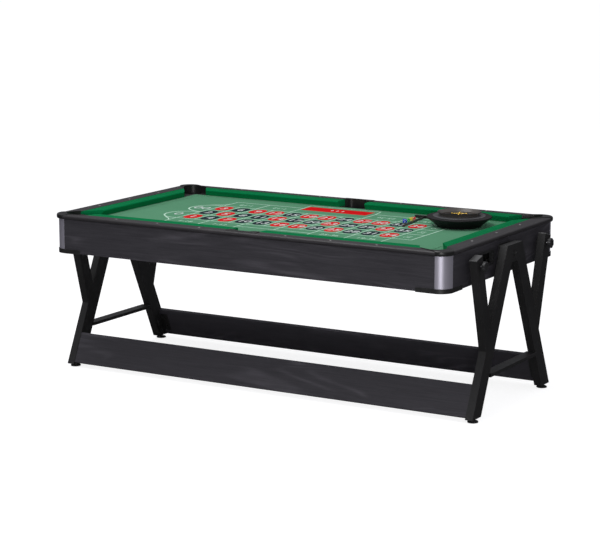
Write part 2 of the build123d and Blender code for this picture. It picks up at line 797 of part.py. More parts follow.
def side_flange():
    """Flat part of a side casting, level with the cloth."""
    x, y = foot_of(SIDE_MOUTH), NOSE_Y + CUSHION_LEAN
    back = SIDE_MOUTH[1]
    plan = [(-x, y), (x, y), (back, RAIL_INNER_Y), (-back, RAIL_INNER_Y)]
    half = SIDE_CASTING_HALF
    under_cap = block(-half, half, RAIL_INNER_Y, INNER_Y - 0.5, BOARD_TOP, BED_TOP)
    return prism_z(plan, BOARD_TOP, BED_TOP) + under_cap


def corner_casting():
    """Corner pocket iron: cap over the corner, flush flange and drop sleeve."""
    side_in, side_out, end_out, end_in = corner_cut()
    plan = [side_in, side_out, (HALF_L, HALF_W), end_out, end_in]
    cap = casting_slab() & prism_z(plan, RAIL_BOTTOM, CASTING_TOP)
    cap += rounded_board(BED_TOP, RAIL_BOTTOM) & prism_z(corner_cut(), BED_TOP, RAIL_BOTTOM)
    cap -= prism_z(corner_mouth(), BED_TOP, 900)
    cap += corner_flange()
    cap -= hole(CORNER_POCKET, 0, 700, 900)
    return cap + pocket_sleeve(CORNER_POCKET)


def side_casting():
    """Side pocket iron let into the inner edge of a long rail."""
    half = SIDE_CASTING_HALF
    cap = block(-half, half, RAIL_INNER_Y, SIDE_CASTING_OUTER, RAIL_BOTTOM, CASTING_TOP)
    cap = fillet(cap.edges().group_by(Axis.Z)[-1].filter_by(Axis.X).sort_by(Axis.Y)[-1], 2.5)
    cap += block(-half, half, RAIL_INNER_Y, INNER_Y - 0.5, BED_TOP, RAIL_BOTTOM)
    cap += side_flange()
    cap -= hole(SIDE_POCKET, 0, 700, 900)
    return cap + pocket_sleeve(SIDE_POCKET)


# --- hockey side underneath ---------------------------------------------------
def hockey_rails():
    """White rails around the field, open at the goals."""
    z0, z1 = CABINET_BOTTOM, HOCKEY_FACE
    x, y = HOCKEY_RAIL_X, HOCKEY_RAIL_Y
    side = block(-x, x, y, INNER_Y, z0, z1)
    end = block(x, INNER_X, GOAL_HALF, y, z0, z1) & rounded_board(z0, z1)
    return [side, flip_y(side)] + four(end)


def goal():
    """Goal box between two end rails, open towards the field."""
    z0, z1 = CABINET_BOTTOM, HOCKEY_FACE
    half, wall = GOAL_HALF, GOAL_WALL
    shell = block(HOCKEY_RAIL_X, INNER_X, -half, half, z0, z1)
    inside = block(HOCKEY_RAIL_X - 2, INNER_X - wall, wall - half, half - wall, z0 + wall, z1 + 1)
    return shell - inside


# --- roulette wheel -----------------------------------------------------------
def spun(profile):
    """Turn a closed (radius, height) profile about the wheel's axis."""
    face = Plane.XZ * Polygon(*profile, align=None)
    turned = revolve(face, Axis.Z, 360)
    return Pos(WHEEL_CENTRE[0], WHEEL_CENTRE[1], MAT_TOP) * turned


def wheel_bowl():
    """Flanged base, a plate on it, a flared dish with a ball track and a spindle."""
    shell = [
        (102.5, 0), (106, 0), (107, 6), (149, 38), (155, 42), (156, 45), (155, 48),
        (150, 50), (127, 50), (125.5, 52.5), (122, 53.5), (94, 55), (92, 57),
    ]
    dish = [
        (104.5, 69), (105, 70.2), (103.5, 70.5), (102, 70), (88.5, 56), (87, 49.5),
        (76, 41), (76, 30), (4, 30), (4, 44), (0, 44),
    ]
    underside = [
        (0, 26), (79, 26), (79, 38.5), (89, 46), (120, 49), (126, 46.5), (150, 46.5),
        (147, 42), (104, 8.5),
    ]
    return spun(shell + dish + underside)


def wheel_rotor():
    """Turning disc with a pocket ring and a cone in the middle."""
    disc = spun([
        (4.05, 31), (74, 31), (75.5, 33), (75.5, 40), (73, 41), (71, 36),
        (54, 36), (52, 41), (20, 47), (9, 48), (9, 46), (4.05, 46),
    ])
    for k in range(38):
        fret = Pos(62.5, 0, 38) * Box(19, 1.2, 5)
        turned = Rot(0, 0, 360 / 38 * k) * fret
        disc += Pos(WHEEL_CENTRE[0], WHEEL_CENTRE[1], MAT_TOP) * turned
    return disc


def turret():
    """Turned post with four arms and small end balls."""
    post = spun([
        (0, 46), (8.9, 46), (8.9, 50), (5, 52), (4, 56), (7, 59), (7, 62),
        (4, 64), (3, 67), (0, 68),
    ])
    for k in range(4):
        arm = Pos(19, 0, 60.5) * Rot(0, 90, 0) * Cylinder(1.8, 30)
        tip = Pos(34, 0, 60.5) * Sphere(3.6)
        turned = Rot(0, 0, 90 * k + 20) * (arm + tip)
        post += Pos(WHEEL_CENTRE[0], WHEEL_CENTRE[1], MAT_TOP) * turned
    return post


def roulette_ball():
    """Ball resting on the sloping track, on the side towards the front."""
    x, y = WHEEL_CENTRE
    slope = math.atan2(8.5, 11)
    r = 81
    height = 41 + (r - 76) * math.tan(slope) + 6.05 / math.cos(slope)
    return Pos(x + 0.435 * r, y - 0.9 * r, MAT_TOP + height) * Sphere(6)


# --- chips and rake -----------------------------------------------------------
def chip_stack(x, y):
    """Five separate chips, one on another."""
    chips = []
    for k in range(CHIPS_PER_STACK):
        z = MAT_TOP + k * CHIP_THICKNESS
        chip = rod_z(x, y, z, z + CHIP_THICKNESS, CHIP_RADIUS)
        chips.append(chamfer(chip.edges().filter_by(GeomType.CIRCLE), 0.4))
    return chips


def rake():
    """Croupier's rake: straight head and a thin tapered handle."""
    head = block(412, 512, 368, 382, MAT_TOP, MAT_TOP + 14)
    z0, z1 = MAT_TOP + 1, MAT_TOP + 9
    handle = prism_z([(488, 88), (496, 88), (464, 370), (455, 370)], z0, z1)
    return fillet(head.edges().filter_by(Axis.X), 2) + handle


# --- write every node ---------------------------------------------------------
def write_stand():
    frame = leg_frame()
    save("leg_frame_right", frame)
    save("leg_frame_left", flip_x(frame))
    save("cross_bars", cross_bar(), flip_x(cross_bar()))
    save("stretcher_panel_back", stretcher_panel())
    save("stretcher_panel_front", flip_y(stretcher_panel()))
    save("panel_brackets", *four(panel_bracket()))
    save("bracket_bolts", *[s for bolt in bracket_bolts() for s in four(bolt)])
    save("arm_plugs", *four(arm_plug()))
    save("leg_inserts", *four(leg_insert()))
    save("pivot_bushes", pivot_bush(), flip_x(pivot_bush()))


def write_screws():
    """Feet and clamps, numbered by quadrant."""
    for number, (sx, sy) in enumerate(QUADRANTS, 1):
        save(f"foot_pad_{number}", place(foot_pad(), sx, sy))
        save(f"foot_stud_{number}", place(foot_stud(), sx, sy))
        save(f"clamp_pad_{number}", place(clamp_pad(), sx, sy))
        save(f"clamp_knob_{number}", place(clamp_knob(), sx, sy))


def write_cabinet():
    save("apron_back", side_apron())
    save("apron_front", flip_y(side_apron()))
    save("apron_right", end_apron() - outlet_opening(0))
    save("apron_left", flip_x(end_apron()))
    save("corner_posts", *four(corner_post()))
    save("corner_guards", *four(corner_guard()))
    bearers = [stringer(), flip_y(stringer())] + ledgers()
    bearers = [notched(bearer) for bearer in bearers] + ribs()
    save("bed_supports", *bearers, *four(corner_block()))
    save("pivot_plates", pivot_plate(), flip_x(pivot_plate()))
    screws = plate_screws()
    save("pivot_plate_screws", *screws, *[flip_x(s) for s in screws])
    save("pivot_bolts", pivot_bolt(), flip_x(pivot_bolt()))


def write_ball_return():
    back = cross_gully(1, OUTLET_Y[1], 670)
    front = cross_gully(-1, OUTLET_Y[0], 667)
    save("ball_gullies", main_gully(), flip_y(main_gully()), back, front)
    save("ball_return_tray", ball_tray())


def write_playfield():
    save("bed_board", bed_board())
    save("bed_cloth", bed_cloth())
    save("layout_mat", layout_mat())
    save("side_rails", side_rail(), flip_y(side_rail()))
    save("end_rails", end_rail(), flip_x(end_rail()))
    save("sights", *sights())
    save("side_cushions", *four(side_cushion()))
    save("end_cushions", end_cushion(), flip_x(end_cushion()))
    save("corner_pockets", *four(corner_casting()))
    save("side_pockets", side_casting(), flip_y(side_casting()))


def write_hockey():
    save("hockey_board", rounded_board(HOCKEY_FACE, HOCKEY_BACK))
    save("hockey_rails", *hockey_rails())
    save("hockey_goals", goal(), flip_x(goal()))


def write_game_pieces():
    save("wheel_bowl", wheel_bowl())
    save("wheel_rotor", wheel_rotor())
    save("wheel_turret", turret())
    save("roulette_ball", roulette_ball())
    places = (("blue", 438, 213), ("green", 441, 239), ("yellow", 444, 265),
              ("red", 447, 291))
    for colour, x, y in places:
        save(f"chips_{colour}", *chip_stack(x, y))
    save("rake", rake())


write_stand()
write_screws()
write_cabinet()
write_ball_return()
write_playfield()
write_hockey()
write_game_pieces()
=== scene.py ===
import math
import random

import bmesh
import bpy
from mathutils import Matrix, Vector, noise


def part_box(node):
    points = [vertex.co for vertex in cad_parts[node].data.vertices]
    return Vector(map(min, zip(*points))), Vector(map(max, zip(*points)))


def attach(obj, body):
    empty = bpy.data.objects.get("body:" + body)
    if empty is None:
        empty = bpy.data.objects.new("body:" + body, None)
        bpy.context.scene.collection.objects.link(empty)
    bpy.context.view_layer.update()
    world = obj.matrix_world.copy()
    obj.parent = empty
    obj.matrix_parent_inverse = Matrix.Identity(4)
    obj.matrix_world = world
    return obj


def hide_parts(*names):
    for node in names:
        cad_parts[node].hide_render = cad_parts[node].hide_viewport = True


# Looks of the flip-over games table. Metres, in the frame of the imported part:
# +X along the table, -Y is the front, +Z up, the floor at Z = 0.

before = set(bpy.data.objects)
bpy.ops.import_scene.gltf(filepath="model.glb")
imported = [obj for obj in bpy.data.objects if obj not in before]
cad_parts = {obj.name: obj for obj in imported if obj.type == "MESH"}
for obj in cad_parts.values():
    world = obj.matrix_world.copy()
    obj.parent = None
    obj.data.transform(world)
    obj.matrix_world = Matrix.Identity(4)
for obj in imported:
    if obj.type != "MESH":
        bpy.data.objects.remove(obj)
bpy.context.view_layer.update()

MM = 0.001
SAME_POINT = 0.02 * MM
draw = random.Random(7)

# --- places read from the frame -----------------------------------------------
bed_low, bed_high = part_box("bed_cloth")
mat_low, mat_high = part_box("layout_mat")
bowl_low, bowl_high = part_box("wheel_bowl")
WHEEL = Vector(((bowl_low.x + bowl_high.x) / 2, (bowl_low.y + bowl_high.y) / 2, bowl_low.z))
RAIL_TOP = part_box("side_rails")[1].z
NOSE_X = 0.925
NOSE_Y = 0.470
# where the cushions stop: at the nose, then at the back
SIDE_CUSHION_END = (0.866, 0.905)
END_CUSHION_END = (0.360, 0.452)
SIDE_MOUTH = (0.076, 0.070)
# clearance between a cushion and the casting beside it
GAP = 0.0003

# a clamp's grip is the outermost part of its node; nearer the table it is a bare stud
GRIP_DEPTH = 0.0175
KNOB_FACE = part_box("clamp_knob_1")[1].x - GRIP_DEPTH
THREAD_PITCH = 0.0015
YARN_PITCH = 0.0011

# --- layout print, in metres on the cloth ---------------------------------------
COLUMN = 0.0987
ROW = 0.142
COLUMNS = 12
GRID_X = COLUMN * COLUMNS / 2
GRID_Y = ROW * 1.5
BOX_END_X = 0.692
STRIP_Y = 0.352
DOZEN_Y = 0.283
STRIP_LINES = (0.592, 0.400, 0.203)
LOBE_X = -0.712
HEADER_X = (-0.212, 0.186)
HEADER_Y = 0.442
LINE = 0.0055
PANEL_X = (-0.196, 0.172)
PANEL_Y = (0.303, 0.408)
FIELD_SIZE = (0.082, 0.120)
NUMBER_SIZE = 0.072
ZERO_SIZE = 0.090
ZERO_X = -0.652
ZERO_Y = 0.106
RANGE_SIZE = 0.044
ODDS_SIZE = 0.046
RANGE_Y = 0.2825
RED_NUMBERS = {1, 3, 5, 7, 9, 12, 14, 16, 18, 19, 21, 23, 25, 27, 30, 32, 34, 36}


# --- materials ------------------------------------------------------------------
INPUTS = {"colour": "Base Color", "specular": "Specular IOR Level", "coat": "Coat Weight",
          "coat_roughness": "Coat Roughness", "sheen": "Sheen Weight",
          "sheen_roughness": "Sheen Roughness", "sheen_tint": "Sheen Tint"}


class Shader:
    """A material whose nodes are added call by call, in the object's own coordinates."""

    def __init__(self, name):
        self.material = bpy.data.materials.new(name)
        self.material.use_nodes = True
        self.nodes = self.material.node_tree.nodes
        self.links = self.material.node_tree.links
        self.bsdf = self.nodes["Principled BSDF"]
        self.place = self.nodes.new("ShaderNodeTexCoord").outputs["Object"]

    def feed(self, socket, value):
        if isinstance(value, bpy.types.NodeSocket):
            self.links.new(value, socket)
        else:
            socket.default_value = value

    def surface(self, **values):
        for key, value in values.items():
            self.feed(self.bsdf.inputs[INPUTS.get(key, key.title())], value)
        return self.material

    def stretch(self, scale, turn=(0, 0, 0)):
        made = self.nodes.new("ShaderNodeMapping")
        self.feed(made.inputs["Vector"], self.place)
        made.inputs["Rotation"].default_value = turn
        made.inputs["Scale"].default_value = scale
        return made.outputs[0]

    def noise(self, where, scale=1.0, detail=3.0, rough=0.5, distortion=0.0):
        made = self.nodes.new("ShaderNodeTexNoise")
        self.feed(made.inputs["Vector"], where)
        made.inputs["Scale"].default_value = scale
        made.inputs["Detail"].default_value = detail
        made.inputs["Roughness"].default_value = rough
        made.inputs["Distortion"].default_value = distortion
        return made.outputs[0]

    def cells(self, where, scale):
        made = self.nodes.new("ShaderNodeTexVoronoi")
        self.feed(made.inputs["Vector"], where)
        made.inputs["Scale"].default_value = scale
        return made.outputs["Distance"]

    def maths(self, operation, first, second=0.0):
        made = self.nodes.new("ShaderNodeMath")
        made.operation = operation
        self.feed(made.inputs[0], first)
        self.feed(made.inputs[1], second)
        return made.outputs[0]

    def axes(self, where=None):
        made = self.nodes.new("ShaderNodeSeparateXYZ")
        self.feed(made.inputs[0], where or self.place)
        return made.outputs

    def ramp(self, value, *stops):
        """Colour or grey by value; a stop is (place, grey) or (place, (r, g, b))."""
        made = self.nodes.new("ShaderNodeValToRGB")
        elements = made.color_ramp.elements
        while len(elements) < len(stops):
            elements.new(0.5)
        for element, (place, shade) in zip(elements, stops):
            element.position = place
            rgb = shade if isinstance(shade, tuple) else (shade, shade, shade)
            element.color = (*rgb, 1)
        self.feed(made.inputs[0], value)
        return made.outputs[0]

    def mix(self, amount, first, second, mode="MIX"):
        made = self.nodes.new("ShaderNodeMix")
        made.data_type = "RGBA"
        made.blend_type = mode
        self.feed(made.inputs[0], amount)
        for socket, value in ((made.inputs[6], first), (made.inputs[7], second)):
            if isinstance(value, tuple):
                value = (*value[:3], 1)
            self.feed(socket, value)
        return made.outputs[2]

    def bump(self, height, distance, strength=1.0, under=None):
        made = self.nodes.new("ShaderNodeBump")
        made.inputs["Strength"].default_value = strength
        made.inputs["Distance"].default_value = distance
        self.feed(made.inputs["Height"], height)
        if under is not None:
            self.feed(made.inputs["Normal"], under)
        return made.outputs[0]

    def waves(self, value, pitch):
        """Sine wave along a coordinate."""
        return self.maths("SINE", self.maths("MULTIPLY", value, 2 * math.pi / pitch))

    def weave(self):
        """Woven yarns crossing at right angles, from -1 to 1."""
        sep = self.axes()
        return self.maths("MULTIPLY", self.waves(sep[0], YARN_PITCH), self.waves(sep[1], YARN_PITCH))

    def edges(self):
        """High where a bevelled edge sticks out, for a painted highlight along the edge."""
        point = self.nodes.new("ShaderNodeNewGeometry").outputs["Pointiness"]
        return self.ramp(point, (0.52, 0.0), (0.60, 1.0))


def along(axis, length_scale, cross_scale):
    """Scale vector of a pattern drawn out along one axis."""
    scale = [cross_scale] * 3
    scale["xyz".index(axis)] = length_scale
    return tuple(scale)


def toned(colour, factor, lift=0.0):
    """A colour made darker or lighter, with a little grey added."""
    return tuple(min(1, c * factor + lift) for c in colour)


def woodgrain(name, axis, dark, light, shine, relief=0.00012):
    """Printed woodgrain: broad cathedral figure, fine streaks and short pores."""
    s = Shader(name)
    broad = s.noise(s.stretch(along(axis, 0.8, 7.0)), 1.0, 2.0, 0.45, 0.5)
    figure = s.maths("SINE", s.maths("MULTIPLY", broad, 75.0))
    figure = s.maths("MULTIPLY_ADD", figure, 0.5)
    figure.node.inputs[2].default_value = 0.5
    patch = s.ramp(s.noise(s.stretch(along(axis, 2.2, 9.0)), 1.0, 2.0), (0.50, 0.0), (0.68, 1.0))
    figure = s.maths("MULTIPLY", s.maths("POWER", figure, 3.0), patch)
    streak = s.noise(s.stretch(along(axis, 5.0, 260.0)), 1.0, 4.0, 0.7)
    pores = s.ramp(s.noise(s.stretch(along(axis, 22.0, 800.0)), 1.0, 2.0), (0.60, 0.0), (0.70, 1.0))
    tone = s.maths("ADD", s.maths("MULTIPLY", figure, 0.35), s.maths("MULTIPLY", streak, 0.65))
    colour = s.ramp(tone, (0.22, dark), (0.72, light))
    colour = s.mix(s.maths("MULTIPLY", pores, 0.55), colour, toned(dark, 0.35))
    # painted highlight: bevelled edges are lightened
    colour = s.mix(s.maths("MULTIPLY", s.edges(), 0.25), colour, toned(light, 2.2))
    gloss = s.ramp(streak, (0.3, shine), (0.7, shine + 0.16))
    height = s.maths("SUBTRACT", streak, pores)
    return s.surface(colour=colour, roughness=gloss, specular=0.42, normal=s.bump(height, relief))


def powder_coat(name, colour, shine):
    """Satin powder coat with orange peel, dust and a painted highlight along the edges."""
    s = Shader(name)
    peel = s.noise(s.place, 420.0, 2.0, 0.45)
    fine = s.noise(s.place, 2600.0, 2.0, 0.5)
    cloud = s.noise(s.place, 5.0, 4.0, 0.6)
    base = s.ramp(cloud, (0.3, toned(colour, 0.8)), (0.7, toned(colour, 1.25)))
    # painted highlight: bevelled edges are lightened
    base = s.mix(s.maths("MULTIPLY", s.edges(), 0.35), base, toned(colour, 3, 0.01))
    gloss = s.ramp(cloud, (0.3, shine), (0.75, shine + 0.12))
    relief = s.bump(fine, 0.00003, 0.6, s.bump(peel, 0.00010, 0.8))
    return s.surface(colour=base, roughness=gloss, specular=0.45, normal=relief)


def moulded(name, colour, shine, grain=1100.0, depth=0.00008, specular=0.45):
    """Moulded plastic with an eroded grain and faint scuffs."""
    s = Shader(name)
    pits = s.cells(s.place, grain)
    cloud = s.noise(s.place, 14.0, 4.0, 0.65)
    scratched = s.noise(s.stretch((300.0, 12.0, 60.0), (0.3, 0.2, 0.7)), 1.0, 3.0)
    scuff = s.ramp(scratched, (0.62, 0.0), (0.72, 1.0))
    base = s.ramp(cloud, (0.3, toned(colour, 0.82)), (0.7, toned(colour, 1.2)))
    # painted highlight: bevelled edges are lightened
    base = s.mix(s.maths("MULTIPLY", s.edges(), 0.25), base, toned(colour, 1.8, 0.01))
    gloss = s.ramp(cloud, (0.3, shine), (0.7, shine + 0.10))
    gloss = s.mix(s.maths("MULTIPLY", scuff, 0.25), gloss, (0.6, 0.6, 0.6))
    return s.surface(colour=base, roughness=gloss, specular=specular, normal=s.bump(pits, depth, 0.7))


def brushed(name, colour, axis, shine, metallic=1.0, scratch=900.0):
    """Metal or metallic film brushed along one axis."""
    s = Shader(name)
    lines = s.noise(s.stretch(along(axis, 3.0, scratch)), 1.0, 4.0, 0.7)
    cloud = s.noise(s.place, 8.0, 3.0, 0.6)
    base = s.ramp(lines, (0.3, toned(colour, 0.86)), (0.7, toned(colour, 1.1)))
    smudge = s.ramp(cloud, (0.3, 0.0), (0.8, 0.06))
    gloss = s.maths("ADD", s.ramp(lines, (0.3, shine), (0.7, shine + 0.1)), smudge)
    normal = s.bump(lines, 0.00004, 0.5)
    return s.surface(colour=base, metallic=metallic, roughness=gloss, normal=normal)


def napped(name, colour, fuzz=0.35, brush="x", variation=0.10):
    """Woollen playing cloth: woven threads under a brushed nap."""
    s = Shader(name)
    fibre = s.noise(s.stretch(along(brush, 500.0, 1900.0)), 1.0, 4.0, 0.75)
    lint = s.ramp(s.noise(s.stretch(along(brush, 150.0, 900.0)), 1.0, 3.0), (0.62, 0.0), (0.76, 1.0))
    cloud = s.noise(s.stretch(along(brush, 2.5, 7.0)), 1.0, 4.0, 0.6)
    base = s.ramp(fibre, (0.25, toned(colour, 1 - variation * 2)),
                  (0.75, toned(colour, 1 + variation * 2)))
    base = s.mix(0.5, base, s.ramp(cloud, (0.3, toned(colour, 1 - variation)),
                                   (0.7, toned(colour, 1 + variation))))
    base = s.mix(s.maths("MULTIPLY", lint, 0.10), base, toned(colour, 1.5, 0.05))
    height = s.maths("ADD", s.maths("MULTIPLY", s.weave(), 0.25), fibre)
    tint = (*toned(colour, 2, 0.3), 1)
    return s.surface(colour=base, roughness=0.95, specular=0.05, sheen=fuzz, sheen_roughness=0.6,
                     sheen_tint=tint, normal=s.bump(height, 0.00016, 0.8))


def printed(name, colour, cover=0.93):
    """Ink soaked in the cloth: the weave stays visible and the ink is slightly worn."""
    s = Shader(name)
    fibre = s.noise(s.stretch((500.0, 1900.0, 500.0)), 1.0, 4.0, 0.75)
    worn = s.ramp(s.noise(s.place, 60.0, 5.0, 0.7), (0.30, cover), (0.62, 1.0))
    base = s.ramp(fibre, (0.25, toned(colour, 0.85)), (0.75, toned(colour, 1.12)))
    bare_cloth = (0.10, 0.26, 0.15)
    base = s.mix(worn, bare_cloth, base)
    height = s.maths("ADD", s.maths("MULTIPLY", s.weave(), 0.3), fibre)
    return s.surface(colour=base, roughness=0.9, specular=0.06, normal=s.bump(height, 0.00012, 0.7))


def turned(name, colour, shine, metallic=0.0, rings=700.0, coat=0.0, specular=0.5):
    """Lathe-turned finish: fine rings about the piece's own Z axis."""
    s = Shader(name)
    sep = s.axes()
    radius = s.maths("SQRT", s.maths("ADD", s.maths("MULTIPLY", sep[0], sep[0]),
                                     s.maths("MULTIPLY", sep[1], sep[1])))
    join = s.nodes.new("ShaderNodeCombineXYZ")
    s.feed(join.inputs[0], s.maths("MULTIPLY", radius, rings))
    s.feed(join.inputs[1], s.maths("MULTIPLY", sep[2], rings))
    lines = s.noise(join.outputs[0], 1.0, 3.0, 0.6)
    cloud = s.noise(s.place, 30.0, 4.0, 0.65)
    base = s.ramp(lines, (0.3, toned(colour, 0.88)), (0.7, toned(colour, 1.12)))
    # painted highlight: bevelled edges are lightened
    base = s.mix(s.maths("MULTIPLY", s.edges(), 0.25), base, toned(colour, 2, 0.01))
    gloss = s.ramp(cloud, (0.3, shine), (0.75, shine + 0.12))
    return s.surface(colour=base, metallic=metallic, roughness=gloss, coat=coat, coat_roughness=0.15,
                     specular=specular, normal=s.bump(lines, 0.00002, 0.6))


def pearl(name):
    """Inlaid marker with a cloudy pearl figure."""
    s = Shader(name)
    swirl = s.noise(s.place, 260.0, 4.0, 0.6, 2.5)
    colour = s.ramp(swirl, (0.3, (0.70, 0.72, 0.74)), (0.5, (0.90, 0.88, 0.84)), (0.7, (0.78, 0.84, 0.86)))
    return s.surface(colour=colour, roughness=0.2, coat=0.6, normal=s.bump(swirl, 0.00003, 0.4))


def knob_material(name):
    """Moulded grip, with the bright steel stud where the same piece is thin."""
    s = Shader(name)
    pits = s.cells(s.place, 1000.0)
    out = s.maths("ABSOLUTE", s.axes()[0])
    steel = s.maths("LESS_THAN", out, KNOB_FACE)
    thread = s.waves(out, THREAD_PITCH)
    colour = s.mix(steel, (0.016, 0.016, 0.017), (0.55, 0.55, 0.57))
    gloss = s.mix(steel, (0.42, 0.42, 0.42), (0.3, 0.3, 0.3))
    normal = s.bump(s.maths("MULTIPLY", thread, steel), 0.0004, 0.8, s.bump(pits, 0.00006, 0.5))
    return s.surface(colour=colour, roughness=gloss, metallic=steel, normal=normal)


def stud_material(name):
    """Zinc-plated thread along Z."""
    s = Shader(name)
    up = s.axes()[2]
    thread = s.waves(up, THREAD_PITCH)
    cloud = s.noise(s.place, 60.0, 4.0, 0.6)
    colour = s.ramp(cloud, (0.3, (0.46, 0.46, 0.47)), (0.7, (0.62, 0.61, 0.58)))
    gloss = s.ramp(cloud, (0.3, 0.28), (0.7, 0.45))
    return s.surface(colour=colour, metallic=1.0, roughness=gloss, normal=s.bump(thread, 0.0004, 0.5))


def hockey_face(name):
    """White melamine with a grid of air holes."""
    s = Shader(name)
    cell = 0.025
    sep = s.axes()
    parts = []
    for k in (0, 1):
        folded = s.maths("PINGPONG", sep[k], cell / 2)
        parts.append(s.maths("POWER", folded, 2.0))
    distance = s.maths("SQRT", s.maths("ADD", parts[0], parts[1]))
    hole = s.maths("LESS_THAN", distance, 0.0009)
    film = s.noise(s.place, 9.0, 4.0, 0.6)
    white = s.ramp(film, (0.3, (0.78, 0.80, 0.82)), (0.7, (0.86, 0.87, 0.88)))
    colour = s.mix(hole, white, (0.02, 0.02, 0.02))
    gloss = s.ramp(film, (0.3, 0.16), (0.7, 0.28))
    relief = s.bump(s.maths("SUBTRACT", 1.0, hole), 0.0006, 0.6)
    return s.surface(colour=colour, roughness=gloss, specular=0.5, normal=relief)


def make_materials():
    """Every finish by a plain name."""
    black = (0.0100, 0.0098, 0.0100)
    grain_dark = (0.0125, 0.0118, 0.0155)
    grain_light = (0.056, 0.052, 0.062)
    rail_dark = (0.0160, 0.0150, 0.0165)
    rail_light = (0.034, 0.031, 0.035)
    lacquer_dark = (0.010, 0.008, 0.008)
    lacquer_light = (0.020, 0.016, 0.015)
    return {
        "steel": powder_coat("satin_black_steel", black, 0.46),
        "grain_x": woodgrain("charcoal_grain_long", "x", grain_dark, grain_light, 0.50),
        "grain_y": woodgrain("charcoal_grain_end", "y", grain_dark, grain_light, 0.50),
        "rail_x": woodgrain("rail_laminate_long", "x", rail_dark, rail_light, 0.36, 0.00006),
        "rail_y": woodgrain("rail_laminate_end", "y", rail_dark, rail_light, 0.36, 0.00006),
        "silver": brushed("silver_corner_film", (0.52, 0.50, 0.58), "z", 0.36, 0.75),
        "casting": moulded("pocket_casting", (0.010, 0.010, 0.010), 0.30, 900.0, 0.00006),
        "guard": moulded("guard_plastic", (0.012, 0.012, 0.012), 0.40),
        "plug": moulded("plug_plastic", (0.055, 0.055, 0.056), 0.26, 1500.0, 0.00002, 0.6),
        "rubber": moulded("foot_rubber", (0.016, 0.016, 0.016), 0.62, 700.0, 0.00010, 0.25),
        "gully": moulded("gully_plastic", (0.035, 0.035, 0.036), 0.45),
        "nylon": moulded("nylon_bush", (0.012, 0.012, 0.012), 0.40, 1400.0, 0.00003),
        "tray": moulded("tray_plastic", (0.014, 0.014, 0.015), 0.38),
        "knob": knob_material("clamp_grip"),
        "stud": stud_material("zinc_stud"),
        "zinc": brushed("zinc_plate", (0.58, 0.58, 0.59), "y", 0.30),
        "aluminium": brushed("anodised_rail", (0.62, 0.62, 0.64), "x", 0.26),
        "board": woodgrain("fibreboard", "x", (0.30, 0.20, 0.12), (0.42, 0.30, 0.19), 0.7),
        "softwood": woodgrain("softwood", "x", (0.42, 0.27, 0.14), (0.66, 0.47, 0.28), 0.55, 0.0002),
        "hockey": hockey_face("hockey_melamine"),
        "goal": moulded("goal_plastic", (0.015, 0.015, 0.016), 0.35),
        "line_blue": printed("hockey_blue", (0.03, 0.10, 0.45), 0.98),
        "line_red": printed("hockey_red", (0.50, 0.03, 0.03), 0.98),
        "bed": napped("bed_nap", (0.096, 0.285, 0.160), 0.12),
        "layout": napped("layout_nap", (0.098, 0.290, 0.163), 0.12, "x", 0.07),
        "cushion": napped("cushion_nap", (0.0015, 0.186, 0.060), 0.0, "x", 0.12),
        "ink_pale": printed("ink_pale", (0.62, 0.88, 0.72), 0.90),
        "ink_white": printed("ink_white", (0.72, 0.80, 0.78), 0.92),
        "ink_red": printed("ink_red", (0.74, 0.014, 0.020), 0.985),
        "ink_black": printed("ink_black", (0.022, 0.032, 0.042), 0.97),
        "header_red": printed("header_red", (0.72, 0.004, 0.008), 0.995),
        "wheel_black": turned("wheel_black", (0.0070, 0.0070, 0.0074), 0.42, 0.0, 500.0, 0.0, 0.18),
        # plate grey: partly the plate's own colour, partly a painted reflection of the ceiling
        "wheel_grey": turned("wheel_grey", (0.075, 0.075, 0.079), 0.34, 0.25),
        "wheel_track": turned("wheel_track", (0.088, 0.079, 0.072), 0.30, 0.2),
        "pocket_red": turned("rotor_red", (0.42, 0.012, 0.012), 0.25, 0.0, 400.0, 0.4),
        "pocket_green": turned("rotor_green", (0.01, 0.22, 0.05), 0.25, 0.0, 400.0, 0.4),
        "pocket_black": turned("rotor_black", (0.010, 0.010, 0.011), 0.22, 0.0, 400.0, 0.4),
        "gold": turned("turned_gold", (0.86, 0.58, 0.12), 0.20, 1.0, 900.0),
        "ivory": turned("ball_ivory", (0.86, 0.85, 0.80), 0.18, 0.0, 200.0, 0.5),
        "lacquer": woodgrain("rake_lacquer", "y", lacquer_dark, lacquer_light, 0.25, 0.00004),
        "pearl": pearl("sight_pearl"),
        "chip_blue": turned("chip_blue", (0.010, 0.045, 0.62), 0.35, 0.0, 900.0),
        "chip_green": turned("chip_green", (0.02, 0.52, 0.06), 0.35, 0.0, 900.0),
        "chip_yellow": turned("chip_yellow", (0.85, 0.66, 0.02), 0.35, 0.0, 900.0),
        "chip_red": turned("chip_red", (0.66, 0.015, 0.015), 0.35, 0.0, 900.0),
        "chip_white": turned("chip_white", (0.80, 0.80, 0.78), 0.35, 0.0, 900.0),
    }


M = make_materials()


# --- CAD nodes that stay ------------------------------------------------------
def dress(node, material, bevel=0.0, segments=3, angle=30.0):
    """Give a CAD node its finish and soften its sharp edges with modifiers."""
    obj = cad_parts[node]
    obj.data.materials.clear()
    obj.data.materials.append(material)
    if not bevel:
        return
    weld = obj.modifiers.new("weld", "WELD")
    weld.merge_threshold = SAME_POINT
    flat = obj.modifiers.new("flat", "DECIMATE")
    flat.decimate_type = "DISSOLVE"
    flat.angle_limit = math.radians(0.4)
    edge = obj.modifiers.new("edge", "BEVEL")
    edge.width = bevel
    edge.segments = segments
    edge.limit_method = "ANGLE"
    edge.angle_limit = math.radians(angle)
    edge.use_clamp_overlap = True
    obj.data.polygons.foreach_set("use_smooth", [True] * len(obj.data.polygons))
    shade = obj.modifiers.new("shade", "WEIGHTED_NORMAL")
    shade.keep_sharp = False


